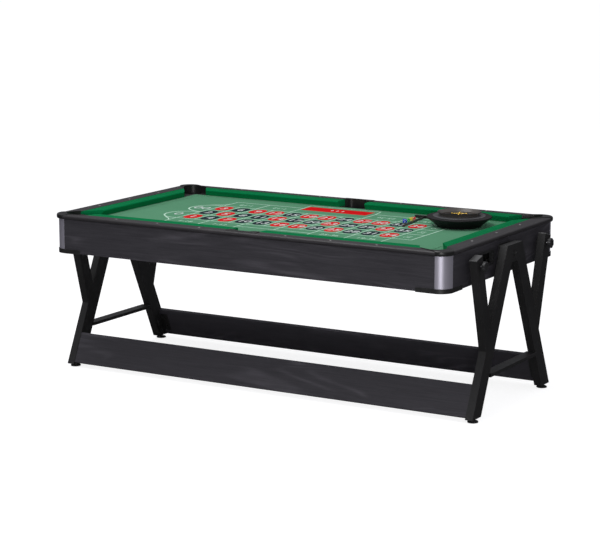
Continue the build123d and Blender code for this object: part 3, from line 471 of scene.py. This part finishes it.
def dress_nodes():
    """Finish and edge radius of every CAD node that is shown as it is."""
    for side in ("left", "right"):
        dress(f"leg_frame_{side}", M["steel"], 0.0016)
        dress(f"apron_{side}", M["grain_y"], 0.0010)
    for side in ("back", "front"):
        dress(f"stretcher_panel_{side}", M["grain_x"], 0.0014)
        dress(f"apron_{side}", M["grain_x"], 0.0010)
    dress("cross_bars", M["steel"], 0.0016)
    dress("panel_brackets", M["steel"], 0.0006, 2)
    dress("bracket_bolts", M["steel"], 0.0008, 2)
    dress("arm_plugs", M["plug"], 0.0006, 2)
    dress("leg_inserts", M["plug"])
    dress("pivot_bushes", M["nylon"])
    dress("corner_posts", M["silver"], 0.0005, 2)
    dress("corner_guards", M["guard"], 0.0012)
    dress("bed_supports", M["softwood"], 0.0008, 2)
    dress("pivot_plates", M["steel"], 0.0008, 2)
    dress("pivot_plate_screws", M["zinc"], 0.0008, 2)
    dress("pivot_bolts", M["steel"], 0.0006, 2)
    dress("ball_gullies", M["gully"])
    dress("ball_return_tray", M["tray"], 0.0008, 2)
    dress("bed_board", M["board"])
    dress("side_rails", M["rail_x"], 0.0008, 2)
    dress("end_rails", M["rail_y"], 0.0008, 2)
    dress("sights", M["pearl"])
    dress("corner_pockets", M["casting"], 0.0016)
    dress("side_pockets", M["casting"], 0.0016)
    dress("hockey_board", M["hockey"])
    dress("hockey_rails", M["aluminium"], 0.0012)
    dress("hockey_goals", M["goal"], 0.0010)
    dress("roulette_ball", M["ivory"])
    dress("rake", M["lacquer"], 0.0008, 2)
    for k in (1, 2, 3, 4):
        dress(f"foot_pad_{k}", M["rubber"], 0.0010, 2)
        dress(f"foot_stud_{k}", M["stud"])
        dress(f"clamp_pad_{k}", M["rubber"], 0.0005, 2)
        dress(f"clamp_knob_{k}", M["knob"], 0.0012)


# --- mesh helpers ---------------------------------------------------------------
def piece(name, mesh, body, materials, replaces=(), at=(0, 0, 0)):
    """Turn a bmesh into a piece that rides on a body."""
    data = bpy.data.meshes.new(name)
    bmesh.ops.recalc_face_normals(mesh, faces=mesh.faces)
    mesh.to_mesh(data)
    mesh.free()
    for material in materials:
        data.materials.append(material)
    obj = bpy.data.objects.new(name, data)
    obj.location = at
    bpy.context.scene.collection.objects.link(obj)
    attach(obj, body)
    if replaces:
        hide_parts(*replaces)
    return obj


def smooth(obj, angle=40.0):
    """Smooth shading that keeps edges sharper than the angle."""
    limit = math.radians(angle)
    mesh = bmesh.new()
    mesh.from_mesh(obj.data)
    for face in mesh.faces:
        face.smooth = True
    for edge in mesh.edges:
        edge.smooth = len(edge.link_faces) == 2 and edge.calc_face_angle(0) < limit
    mesh.to_mesh(obj.data)
    mesh.free()
    return obj


def rounded(points, radius, steps=4):
    """Outline whose corners are replaced with short curves."""
    corners = [Vector(p) for p in points]
    out = []
    for k, corner in enumerate(corners):
        before = corners[k - 1] - corner
        after = corners[(k + 1) % len(corners)] - corner
        first = corner + before.normalized() * min(radius, before.length * 0.45)
        last = corner + after.normalized() * min(radius, after.length * 0.45)
        for step in range(steps + 1):
            t = step / steps
            out.append(first * (1 - t) ** 2 + corner * 2 * t * (1 - t) + last * t * t)
    return out


def lathe(profile, segments, paint=None):
    """Closed solid turned about Z from a closed (radius, height) outline."""
    mesh = bmesh.new()
    rings = []
    for k in range(segments):
        angle = 2 * math.pi * k / segments
        c, s = math.cos(angle), math.sin(angle)
        rings.append([mesh.verts.new((max(r, 0) * c, max(r, 0) * s, z)) for r, z in profile])
    count = len(profile)
    for k in range(segments):
        here, there = rings[k], rings[(k + 1) % segments]
        for j in range(count):
            i = (j + 1) % count
            face = mesh.faces.new((here[j], here[i], there[i], there[j]))
            if paint:
                middle = (Vector(profile[j]) + Vector(profile[i])) / 2
                face.material_index = paint(middle.x, middle.y, k)
    bmesh.ops.remove_doubles(mesh, verts=mesh.verts, dist=0.000005)
    bmesh.ops.dissolve_degenerate(mesh, edges=mesh.edges, dist=0.000004)
    return mesh


# --- cushions -------------------------------------------------------------------
def cushion_profile(nose, back):
    """Cushion section as (across, height): cloth tucked in a groove, crowned top, round nose."""
    top = RAIL_TOP
    foot = bed_high.z + 0.4 * MM
    low_edge = 1.2 * MM
    swell = 1.1 * MM
    crown = []
    for k in range(9):
        t = k / 8
        across = between((back - low_edge, nose + 5.5 * MM), t)
        rise = math.sin(math.pi * min(1, 0.12 + t * 0.9))
        crown.append((across, top - low_edge + swell * rise))
    radius = 5.8 * MM
    nose_z = top - 6.5 * MM
    arc = []
    for k in range(1, 9):
        angle = math.pi / 2 * k / 8 * 1.25
        arc.append((nose + radius - radius * math.sin(angle), nose_z + radius * math.cos(angle)))
    start = Vector(arc[-1])
    end = Vector((nose + 10.2 * MM, foot))
    hollow = 0.9 * MM
    face = []
    for k in range(1, 8):
        t = k / 7
        point = start.lerp(end, t)
        point.x += hollow * math.sin(math.pi * t)
        face.append(tuple(point))
    groove = [(back, top - 3.4 * MM), (back - 0.2 * MM, top - 3.0 * MM)]
    return groove + crown + arc + face + [(back, foot)]


def cushion(profile, ends, place, stations=90):
    """One cushion swept between two slanted end planes, with a slightly uneven cloth."""
    mesh = bmesh.new()
    loops = []
    for k in range(stations + 1):
        t = k / stations
        ring = []
        for across, height in profile:
            start, finish = ends(across)
            lengthwise = start + (finish - start) * t
            wander = noise.noise(Vector((lengthwise * 9, across * 40, height * 40 + 3.1)))
            edge = min(1.0, min(t, 1 - t) * stations / 2)
            shift = 0.22 * MM * wander * edge
            ring.append(mesh.verts.new(place(lengthwise, across + shift, height)))
        loops.append(ring)
    count = len(profile)
    for here, there in zip(loops, loops[1:]):
        for j in range(count):
            i = (j + 1) % count
            mesh.faces.new((here[j], here[i], there[i], there[j]))
    mesh.faces.new(loops[0])
    mesh.faces.new(loops[-1][::-1])
    return mesh


def between(pair, t):
    return pair[0] + (pair[1] - pair[0]) * t


def soften_ends(obj, width=0.0022):
    edge = obj.modifiers.new("folded_ends", "BEVEL")
    edge.width = width
    edge.segments = 4
    edge.limit_method = "ANGLE"
    edge.angle_limit = math.radians(50)
    obj.data.polygons.foreach_set("use_smooth", [True] * len(obj.data.polygons))
    shade = obj.modifiers.new("shade", "WEIGHTED_NORMAL")
    shade.keep_sharp = False


def side_cushions():
    """Four long-rail cushions: nearly square at the side pocket, mitred at the corner."""
    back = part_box("side_cushions")[1].y
    profile = cushion_profile(NOSE_Y, back)

    def ends(across):
        t = (across - NOSE_Y) / (back - NOSE_Y)
        return between(SIDE_MOUTH, t) + GAP, between(SIDE_CUSHION_END, t) - GAP

    for number, (sx, sy) in enumerate(((1, 1), (1, -1), (-1, 1), (-1, -1)), 1):
        def place(lengthwise, across, height):
            return sx * lengthwise, sy * across, height

        name = f"side_cushion_{number}"
        mesh = cushion(profile, ends, place)
        replaced = ("side_cushions",) if number == 1 else ()
        obj = piece(name, mesh, "table", [M["cushion"]], replaced)
        soften_ends(obj)


def end_cushions():
    """Two short-rail cushions, mitred at both corners."""
    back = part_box("end_cushions")[1].x
    profile = cushion_profile(NOSE_X, back)

    def ends(across):
        reach = between(END_CUSHION_END, (across - NOSE_X) / (back - NOSE_X)) - GAP
        return -reach, reach

    for number, sx in enumerate((1, -1), 1):
        def place(lengthwise, across, height):
            return sx * across, lengthwise, height

        name = f"end_cushion_{number}"
        mesh = cushion(profile, ends, place)
        replaced = ("end_cushions",) if number == 1 else ()
        obj = piece(name, mesh, "table", [M["cushion"]], replaced)
        soften_ends(obj)


# --- bed cloth and printed layout -----------------------------------------------
def bed_sheet():
    """The stretched bed cloth, wrapped down over the edges of the pocket holes."""
    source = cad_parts["bed_cloth"].data
    mesh = bmesh.new()
    mesh.from_mesh(source)
    bmesh.ops.remove_doubles(mesh, verts=mesh.verts, dist=SAME_POINT)
    bmesh.ops.dissolve_limit(mesh, angle_limit=math.radians(0.5), verts=mesh.verts, edges=mesh.edges)
    obj = piece("bed_cloth_sheet", mesh, "table", [M["bed"]], ("bed_cloth",))
    edge = obj.modifiers.new("wrap", "BEVEL")
    edge.width = 0.0007
    edge.segments = 3
    edge.limit_method = "ANGLE"
    obj.data.polygons.foreach_set("use_smooth", [True] * len(obj.data.polygons))
    obj.modifiers.new("shade", "WEIGHTED_NORMAL")


CLOTH_TOP = mat_low.z + 0.00050


def cloth_height(x, y):
    """Top of the printed cloth: flat in the middle, faint ripples at the hem."""
    to_hem = min(mat_high.x - abs(x), mat_high.y - abs(y))
    near = max(0.0, 1 - to_hem / 0.045) ** 2
    wave = noise.noise(Vector((x * 11, y * 11, 2.7)))
    calm = noise.noise(Vector((x * 3, y * 3, 9.1)))
    return CLOTH_TOP + 0.00004 * calm + near * 0.0007 * max(0.0, wave)


def layout_cloth():
    """Thin hemmed cloth laid over the bed."""
    cell = 0.010
    nx = round((mat_high.x - mat_low.x) / cell)
    ny = round((mat_high.y - mat_low.y) / cell)
    mesh = bmesh.new()
    rows = []
    for j in range(ny + 1):
        row = []
        for i in range(nx + 1):
            x = mat_low.x + i * cell
            y = mat_low.y + j * cell
            x, y = round_corner(x, y)
            row.append(mesh.verts.new((x, y, cloth_height(x, y))))
        rows.append(row)
    for low, high in zip(rows, rows[1:]):
        for i in range(nx):
            mesh.faces.new((low[i], low[i + 1], high[i + 1], high[i]))
    obj = piece("layout_cloth", mesh, "table", [M["layout"]], ("layout_mat",))
    thick = obj.modifiers.new("thickness", "SOLIDIFY")
    thick.thickness = 0.00042
    thick.offset = -1
    obj.data.polygons.foreach_set("use_smooth", [True] * len(obj.data.polygons))


def round_corner(x, y, radius=0.012):
    """Pull a point near a corner of the cloth onto the corner's arc."""
    dx = abs(x) - (mat_high.x - radius)
    dy = abs(y) - (mat_high.y - radius)
    reach = math.hypot(dx, dy)
    if dx <= 0 or dy <= 0 or reach <= radius:
        return x, y
    x = math.copysign(mat_high.x - radius + dx * radius / reach, x)
    y = math.copysign(mat_high.y - radius + dy * radius / reach, y)
    return x, y


class Print:
    """Flat ink shapes that lie on the cloth."""

    def __init__(self, lift=0.00012, level=None):
        self.mesh = bmesh.new()
        self.lift = lift
        self.level = level

    def height(self, x, y):
        if self.level is not None:
            return self.level
        return cloth_height(x, y) + self.lift

    def shape(self, points):
        self.mesh.faces.new([self.mesh.verts.new((x, y, self.height(x, y))) for x, y in points])

    def line(self, points, width=LINE, step=0.02):
        """Ribbon of constant width along a path."""
        path = [Vector(points[0])]
        for a, b in zip(points, points[1:]):
            a, b = Vector(a), Vector(b)
            parts = max(1, math.ceil((b - a).length / step))
            path += [a.lerp(b, k / parts) for k in range(1, parts + 1)]
        sides = []
        for k, point in enumerate(path):
            ahead = path[min(k + 1, len(path) - 1)] - path[max(k - 1, 0)]
            across = Vector((-ahead.y, ahead.x)).normalized() * width / 2
            sides.append((point + across, point - across))
        rails = [[self.mesh.verts.new((p.x, p.y, self.height(p.x, p.y))) for p in pair] for pair in sides]
        for (a, b), (c, d) in zip(rails, rails[1:]):
            self.mesh.faces.new((a, b, d, c))

    def oval(self, x, y, width, height, points=48):
        ring = [2 * math.pi * k / points for k in range(points)]
        self.shape([(x + width / 2 * math.cos(a), y + height / 2 * math.sin(a)) for a in ring])

    def diamond(self, x, y, width, height):
        self.shape([(x - width / 2, y), (x, y - height / 2), (x + width / 2, y), (x, y + height / 2)])

    def figures(self, text, x, y, size, turn=0.0, bold=0.0, squeeze=1.0):
        """Numerals as flat faces, centred on a point."""
        curve = bpy.data.curves.new("figures", "FONT")
        curve.body = text
        curve.size = size
        curve.align_x = "CENTER"
        curve.align_y = "CENTER"
        curve.offset = bold * size
        curve.resolution_u = 3
        holder = bpy.data.objects.new("figures", curve)
        flat = holder.to_mesh()
        c, s = math.cos(turn), math.sin(turn)
        made = []
        for vertex in flat.vertices:
            u = vertex.co.x * squeeze
            v = vertex.co.y
            px, py = x + u * c - v * s, y + u * s + v * c
            made.append(self.mesh.verts.new((px, py, self.height(px, py))))
        for face in flat.polygons:
            self.mesh.faces.new([made[k] for k in face.vertices])
        holder.to_mesh_clear()
        bpy.data.objects.remove(holder)
        bpy.data.curves.remove(curve)

    def finish(self, name, body, slot, material, thickness=0.00010, at=(0, 0, 0)):
        for face in self.mesh.faces:
            face.normal_update()
            if face.normal.z < 0:
                face.normal_flip()
        data = bpy.data.meshes.new(name)
        self.mesh.to_mesh(data)
        self.mesh.free()
        data.materials.append(material)
        obj = bpy.data.objects.new(name, data)
        obj.location = at
        bpy.context.scene.collection.objects.link(obj)
        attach(obj, body)
        thick = obj.modifiers.new("ink", "SOLIDIFY")
        thick.thickness = thickness
        thick.offset = -1
        return obj


def number_place(number):
    """Centre of a number's field; 1 is at the front of the first column."""
    column, row = divmod(number - 1, 3)
    return -GRID_X + COLUMN * (column + 0.5), -GRID_Y + ROW * (row + 0.5)


def curve_points(points, steps=14):
    """Smooth path through points, by Catmull-Rom."""
    path = [Vector(p) for p in points]
    ends = [path[0] * 2 - path[1]] + path + [path[-1] * 2 - path[-2]]
    out = []
    for a, b, c, d in zip(ends, ends[1:], ends[2:], ends[3:]):
        for k in range(steps):
            t = k / steps
            out.append(0.5 * ((2 * b) + (c - a) * t + (2 * a - 5 * b + 4 * c - d) * t * t
                              + (3 * b - a - 3 * c + d) * t ** 3))
    out.append(path[-1])
    return out


def grid_lines(ink):
    """Number grid, column boxes and the strips in front and behind."""
    for k in range(COLUMNS + 1):
        x = -GRID_X + COLUMN * k
        ink.line([(x, -GRID_Y), (x, GRID_Y)])
    for k in range(4):
        y = -GRID_Y + ROW * k
        ink.line([(-GRID_X, y), (BOX_END_X, y)])
    ink.line([(BOX_END_X, -GRID_Y), (BOX_END_X, GRID_Y)])
    for side in (1, -1):
        y = side * STRIP_Y
        for x in STRIP_LINES:
            for end in (1, -1):
                ink.line([(end * x, side * GRID_Y), (end * x, y)])
        for end in (1, -1):
            ink.line([(end * STRIP_LINES[2], y), (end * STRIP_LINES[0], y)])
    inner = STRIP_LINES[2]
    ink.line([(-inner, -DOZEN_Y), (inner, -DOZEN_Y)])
    ink.line([(0, -GRID_Y), (0, -DOZEN_Y)])
    low_x, high_x = HEADER_X
    ink.line([(-inner, STRIP_Y), (low_x, HEADER_Y), (high_x, HEADER_Y), (inner, STRIP_Y)])


def zero_lobes(ink):
    """Two rounded fields for the zeros and the sweep that ends the front strip."""
    for side in (-1, 1):
        outline = [(-GRID_X, 0), (-0.640, side * 0.012), (-0.692, side * 0.048),
                   (LOBE_X, side * 0.102), (-0.700, side * 0.158), (-0.664, side * 0.200),
                   (-0.630, side * GRID_Y), (-GRID_X, side * GRID_Y)]
        ink.line(curve_points(outline), 0.0075)
        sweep = [(-0.672, side * 0.196), (-0.646, side * 0.222), (-0.618, side * 0.246),
                 (-GRID_X, side * DOZEN_Y)]
        ink.line(curve_points(sweep), 0.0065)


def layout_print():
    """Everything printed on the cloth: lines, fields, numerals and plain ornaments."""
    pale = Print()
    grid_lines(pale)
    zero_lobes(pale)
    red = Print()
    black = Print()
    white = Print(lift=0.20 * MM)
    for number in range(1, 37):
        x, y = number_place(number)
        field = red if number in RED_NUMBERS else black
        field.oval(x, y, *FIELD_SIZE)
        white.figures(str(number), x, y, NUMBER_SIZE, bold=0.010)
    for side, text in ((-1, "0"), (1, "00")):
        white.figures(text, ZERO_X, side * ZERO_Y, ZERO_SIZE)
    for k in (-1, 0, 1):
        pale.figures("2:1", (GRID_X + BOX_END_X) / 2, k * ROW, ODDS_SIZE, math.pi / 2)
    strip_figures(pale)
    header = Print(lift=0.16 * MM)
    (x0, x1), (y0, y1) = PANEL_X, PANEL_Y
    header.shape([(x0, y0), (x1, y0), (x1, y1), (x0, y1)])
    for k in (-1, 0, 1):
        white.diamond((x0 + x1) / 2 + k * 0.030, (y0 + y1) / 2, 0.014, 0.030)
    header.finish("layout_header", "table", "mat_print", M["header_red"])
    pale.finish("layout_lines", "table", "mat_print", M["ink_pale"])
    red.finish("layout_red_fields", "table", "mat_print", M["ink_red"])
    black.finish("layout_black_fields", "table", "mat_print", M["ink_black"])
    white.finish("layout_numbers", "table", "mat_print", M["ink_white"], 0.00014)


def strip_figures(pale):
    """Number ranges in the strips on both sides."""
    for side in (1, -1):
        y = side * RANGE_Y
        turn = 0.0 if side < 0 else math.pi
        for x, text in ((-0.496, "1-18"), (0.496, "19-36"), (-0.301, "1-12"), (0.301, "25-36")):
            pale.figures(text, x, y, RANGE_SIZE, turn)


# --- hockey side ----------------------------------------------------------------
def hockey_print():
    """Field lines on the reverse side, just below its face."""
    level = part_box("hockey_board")[0].z - SAME_POINT
    half_x = 0.975
    half_y = 0.540
    zone_x = 0.33
    centre_radius = 0.135
    crease_radius = 0.17
    spot_radius = 0.075
    spot_x, spot_y = 0.62, 0.27
    broad, narrow = 0.010, 0.007
    red = Print(level=level)
    blue = Print(level=level)
    red.line([(0, -half_y), (0, half_y)], broad)
    for x in (-zone_x, zone_x):
        blue.line([(x, -half_y), (x, half_y)], broad)
    ring = [2 * math.pi * k / 72 for k in range(73)]
    blue.line([(centre_radius * math.cos(a), centre_radius * math.sin(a)) for a in ring], narrow)
    for sx in (1, -1):
        arc = [math.pi * k / 36 - math.pi / 2 for k in range(37)]
        crease = [(sx * (half_x - crease_radius * math.cos(a)), crease_radius * math.sin(a)) for a in arc]
        red.line(crease, narrow)
        for sy in (1, -1):
            x, y = sx * spot_x, sy * spot_y
            red.line([(x + spot_radius * math.cos(a), y + spot_radius * math.sin(a)) for a in ring], 0.006)
    for ink, name, key in ((red, "hockey_red_lines", "line_red"), (blue, "hockey_blue_lines", "line_blue")):
        ink.finish(name, "table", "hockey_white", M[key], 0.00012)


# --- roulette wheel -------------------------------------------------------------
def millimetres(points):
    return [(r * MM, z * MM) for r, z in points]


def wheel_bowl():
    """Moulded bowl: black shell, satin plate painted grey (partly its own grey, partly a painted reflection
    of the ceiling on its sloped top), grey dish with a ball track and a spindle.
    """
    shell = [(102.5, 0), (106, 0), (107, 6), (149, 38), (155, 42), (156, 45), (155, 48),
             (150, 50), (127, 50), (125.5, 52.5), (122, 53.5), (94, 55), (92, 57)]
    dish = [(104.5, 69), (105, 70.2), (103.5, 70.5), (102, 70), (88.5, 56), (87, 49.5),
            (76, 41), (76, 30), (4, 30), (4, 44), (0, 44)]
    underside = [(0, 26), (79, 26), (79, 38.5), (89, 46), (120, 49), (126, 46.5), (150, 46.5),
                 (147, 42), (104, 8.5)]

    def paint(radius, height, _):
        # index 1, the sloped plate: grey that is partly its own colour and partly a painted reflection
        if 0.0945 < radius < 0.1265 and 0.0512 < height < 0.056:
            return 1
        if 0.0765 < radius < 0.1040 and height > 0.0415 + max(0, radius - 0.0765) * 0.77:
            return 2
        return 0

    profile = rounded(millimetres(shell + dish + underside), 1.4 * MM)
    mesh = lathe(profile, 192, paint)
    finish = [M["wheel_black"], M["wheel_grey"], M["wheel_track"]]
    smooth(piece("wheel_bowl_shell", mesh, "wheel", finish, ("wheel_bowl",), WHEEL), 50)


def wheel_rotor():
    """Rotor: cone, pocket ring in two colours with two green pockets, and a turned rim."""
    pockets = 38
    share = 6
    outline = [(4.05, 31), (74, 31), (75.5, 33), (75.5, 40), (73, 41), (71, 36),
               (54, 36), (52, 41), (20, 47), (9, 48), (9, 46), (4.05, 46)]
    profile = rounded(millimetres(outline), 0.5 * MM)

    def paint(radius, height, k):
        if 0.0535 < radius < 0.0718 and 0.0345 < height < 0.0395:
            index = k // share
            if index in (0, pockets // 2):
                return 3
            return 1 + index % 2
        return 0 if radius > 0.0718 else 4

    mesh = lathe(profile, pockets * share, paint)
    finish = [M["gold"], M["pocket_red"], M["pocket_black"], M["pocket_green"], M["wheel_black"]]
    smooth(piece("wheel_rotor_disc", mesh, "rotor", finish, ("wheel_rotor",), WHEEL), 50)
    frets(pockets)
    rotor_figures(pockets)


def frets(pockets):
    """Thin brass walls between the pockets."""
    mesh = bmesh.new()
    outline = [(53, 35.5), (72, 35.5), (72, 40.2), (69.5, 40.6), (57, 40.4), (53, 41)]
    for k in range(pockets):
        turn = Matrix.Rotation(2 * math.pi * k / pockets, 4, "Z")
        sides = []
        for y in (-0.45 * MM, 0.45 * MM):
            ring = [mesh.verts.new(turn @ Vector((r * MM, y, z * MM))) for r, z in outline]
            sides.append(ring)
        mesh.faces.new(sides[0])
        mesh.faces.new(sides[1][::-1])
        for j in range(len(outline)):
            i = (j + 1) % len(outline)
            mesh.faces.new((sides[0][j], sides[0][i], sides[1][i], sides[1][j]))
    obj = piece("wheel_frets", mesh, "rotor", [M["gold"]], (), WHEEL)
    edge = obj.modifiers.new("edge", "BEVEL")
    edge.width = 0.0002
    edge.segments = 2


def rotor_figures(pockets):
    """Small numerals in the pockets, read from the rim."""
    order = list(range(1, 37))
    draw.shuffle(order)
    labels = ["0"] + [str(n) for n in order[:18]] + ["00"] + [str(n) for n in order[18:]]
    ink = Print(level=0.03612)
    for k, label in enumerate(labels[:pockets]):
        angle = 2 * math.pi * (k + 0.5) / pockets
        x, y = 0.0672 * math.cos(angle), 0.0672 * math.sin(angle)
        ink.figures(label, x, y, 0.0058, angle - math.pi / 2)
    ink.finish("wheel_numbers", "rotor", "rotor", M["chip_white"], 0.00010, WHEEL)


def turret():
    """Turned gold post with four tapered arms and ball ends."""
    post = [(0, 46.2), (8.9, 46.2), (8.9, 49.5), (5.5, 51.5), (4.2, 55), (6.8, 58.6),
            (7.2, 60.5), (6.8, 62.4), (4.2, 64), (3.2, 66.8), (1.6, 68), (0, 68)]
    mesh = lathe(rounded(millimetres(post), 0.9 * MM), 64)
    arm = [(0, 4), (1.9, 4), (1.5, 18), (2.2, 20), (1.5, 22), (1.3, 30.6), (2.4, 31.4),
           (3.3, 33), (3.6, 34.6), (3.1, 36.4), (1.8, 37.6), (0, 38)]
    arm = rounded(millimetres(arm), 0.5 * MM)
    for k in range(4):
        part = lathe(arm, 32)
        turn = Matrix.Rotation(math.radians(90 * k + 20), 4, "Z")
        lift = Matrix.Translation((0, 0, 60.5 * MM))
        along_x = Matrix.Rotation(math.pi / 2, 4, "Y")
        bmesh.ops.transform(part, matrix=lift @ turn @ along_x, verts=part.verts)
        holder = bpy.data.meshes.new("arm")
        part.to_mesh(holder)
        part.free()
        mesh.from_mesh(holder)
        bpy.data.meshes.remove(holder)
    smooth(piece("wheel_turret_turned", mesh, "rotor", [M["gold"]], ("wheel_turret",), WHEEL), 50)


# --- chips ----------------------------------------------------------------------
def chips():
    """Stacks of five chips with a moulded rim and pale edge spots."""
    outline = [(0, 0.25), (8.2, 0.25), (8.7, 0.02), (10.4, 0.02), (11, 0.5), (11, 2.7),
               (10.4, 3.16), (8.7, 3.16), (8.2, 2.9), (0, 2.9)]
    profile = rounded(millimetres(outline), 0.22 * MM, 3)

    def paint(radius, height, k):
        return 1 if radius > 0.0088 and k % 18 < 3 else 0

    for colour in ("blue", "green", "yellow", "red"):
        low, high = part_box(f"chips_{colour}")
        thick = (high.z - low.z) / 5
        stack = bmesh.new()
        for k in range(5):
            chip = lathe(profile, 72, paint)
            slide = Vector((draw.uniform(-1, 1), draw.uniform(-1, 1), 0)) * 0.00025
            turn = Matrix.Rotation(draw.uniform(0, 6.28), 4, "Z")
            shift = Matrix.Translation(slide + Vector((0, 0, k * thick)))
            bmesh.ops.transform(chip, matrix=shift @ turn, verts=chip.verts)
            holder = bpy.data.meshes.new("chip")
            chip.to_mesh(holder)
            chip.free()
            stack.from_mesh(holder)
            bpy.data.meshes.remove(holder)
        centre = ((low.x + high.x) / 2, (low.y + high.y) / 2, low.z)
        finish = [M[f"chip_{colour}"], M["chip_white"]]
        obj = piece(f"stack_{colour}_chips", stack, f"stack_{colour}", finish,
                    (f"chips_{colour}",), centre)
        smooth(obj, 45)


# --- stage ----------------------------------------------------------------------
CAMERA_PLACE = (4.9008, -8.4043, 2.3453)
CAMERA_LENS = 122.73
CAMERA_DOWN = 10.70
CAMERA_TURN = 30.35


def floor():
    """White sweep: only faintly shaded for the camera, dark in glossy reflections."""
    mesh = bpy.data.meshes.new("floor")
    reach = 120
    corners = [(-reach, -reach, 0), (reach, -reach, 0), (reach, reach, 0), (-reach, reach, 0)]
    mesh.from_pydata(corners, [], [(0, 1, 2, 3)])
    s = Shader("pale_floor")
    ray = s.nodes.new("ShaderNodeLightPath").outputs
    seen = s.mix(ray["Is Camera Ray"], (0.80, 0.80, 0.80), (0.52, 0.52, 0.535))
    colour = s.mix(ray["Is Glossy Ray"], seen, (0.10, 0.10, 0.105))
    glow = s.maths("MULTIPLY", ray["Is Camera Ray"], 0.83)
    s.feed(s.bsdf.inputs["Emission Color"], (1.0, 1.0, 1.0, 1.0))
    s.feed(s.bsdf.inputs["Emission Strength"], glow)
    s.surface(colour=colour, roughness=0.9, specular=0.0)
    mesh.materials.append(s.material)
    obj = bpy.data.objects.new("floor", mesh)
    bpy.context.scene.collection.objects.link(obj)


def softbox(name, place, target, size, power):
    data = bpy.data.lights.new(name, "AREA")
    data.shape = "RECTANGLE"
    data.size, data.size_y = size
    data.energy = power
    obj = bpy.data.objects.new(name, data)
    obj.location = place
    obj.visible_camera = False
    aim = Vector(target) - Vector(place)
    obj.rotation_euler = aim.to_track_quat("-Z", "Y").to_euler()
    bpy.context.scene.collection.objects.link(obj)


def studio():
    """Even light for matt surfaces; glossy ones see a dark room with a bright ceiling."""
    world = bpy.data.worlds.new("studio")
    bpy.context.scene.world = world
    world.use_nodes = True
    nodes = world.node_tree.nodes
    links = world.node_tree.links
    back = nodes["Background"]
    up = nodes.new("ShaderNodeSeparateXYZ")
    links.new(nodes.new("ShaderNodeTexCoord").outputs["Generated"], up.inputs[0])
    room = nodes.new("ShaderNodeValToRGB")
    elements = room.color_ramp.elements
    elements[0].position, elements[0].color = 0.20, (0.045, 0.045, 0.05, 1)
    elements[1].position, elements[1].color = 0.62, (0.62, 0.62, 0.65, 1)
    links.new(up.outputs[2], room.inputs[0])
    glossy = nodes.new("ShaderNodeMix")
    glossy.data_type = "RGBA"
    links.new(nodes.new("ShaderNodeLightPath").outputs["Is Glossy Ray"], glossy.inputs[0])
    glossy.inputs[6].default_value = (0.365, 0.365, 0.38, 1)
    links.new(room.outputs[0], glossy.inputs[7])
    links.new(glossy.outputs[2], back.inputs[0])
    back.inputs[1].default_value = 1.0


def lights():
    studio()
    softbox("overhead", (-0.4, -1.2, 4.0), (0, 0, 0.7), (3.2, 1.8), 72)
    softbox("front_key", (5.4, -9.2, 1.6), (0.2, 0, 0.6), (1.6, 2.6), 350)
    scene = bpy.context.scene
    scene.view_settings.view_transform = "Standard"
    scene.view_settings.look = "None"


def camera():
    """Long lens, standing off the front right corner and looking slightly down."""
    data = bpy.data.cameras.new("camera")
    data.sensor_width = 36
    data.lens = CAMERA_LENS
    data.clip_end = 400
    obj = bpy.data.objects.new("camera", data)
    obj.location = CAMERA_PLACE
    obj.rotation_euler = (math.radians(90 - CAMERA_DOWN), 0, math.radians(CAMERA_TURN))
    bpy.context.scene.collection.objects.link(obj)
    bpy.context.scene.camera = obj


dress_nodes()
side_cushions()
end_cushions()
bed_sheet()
layout_cloth()
layout_print()
hockey_print()
wheel_bowl()
wheel_rotor()
turret()
chips()
floor()
lights()
camera()
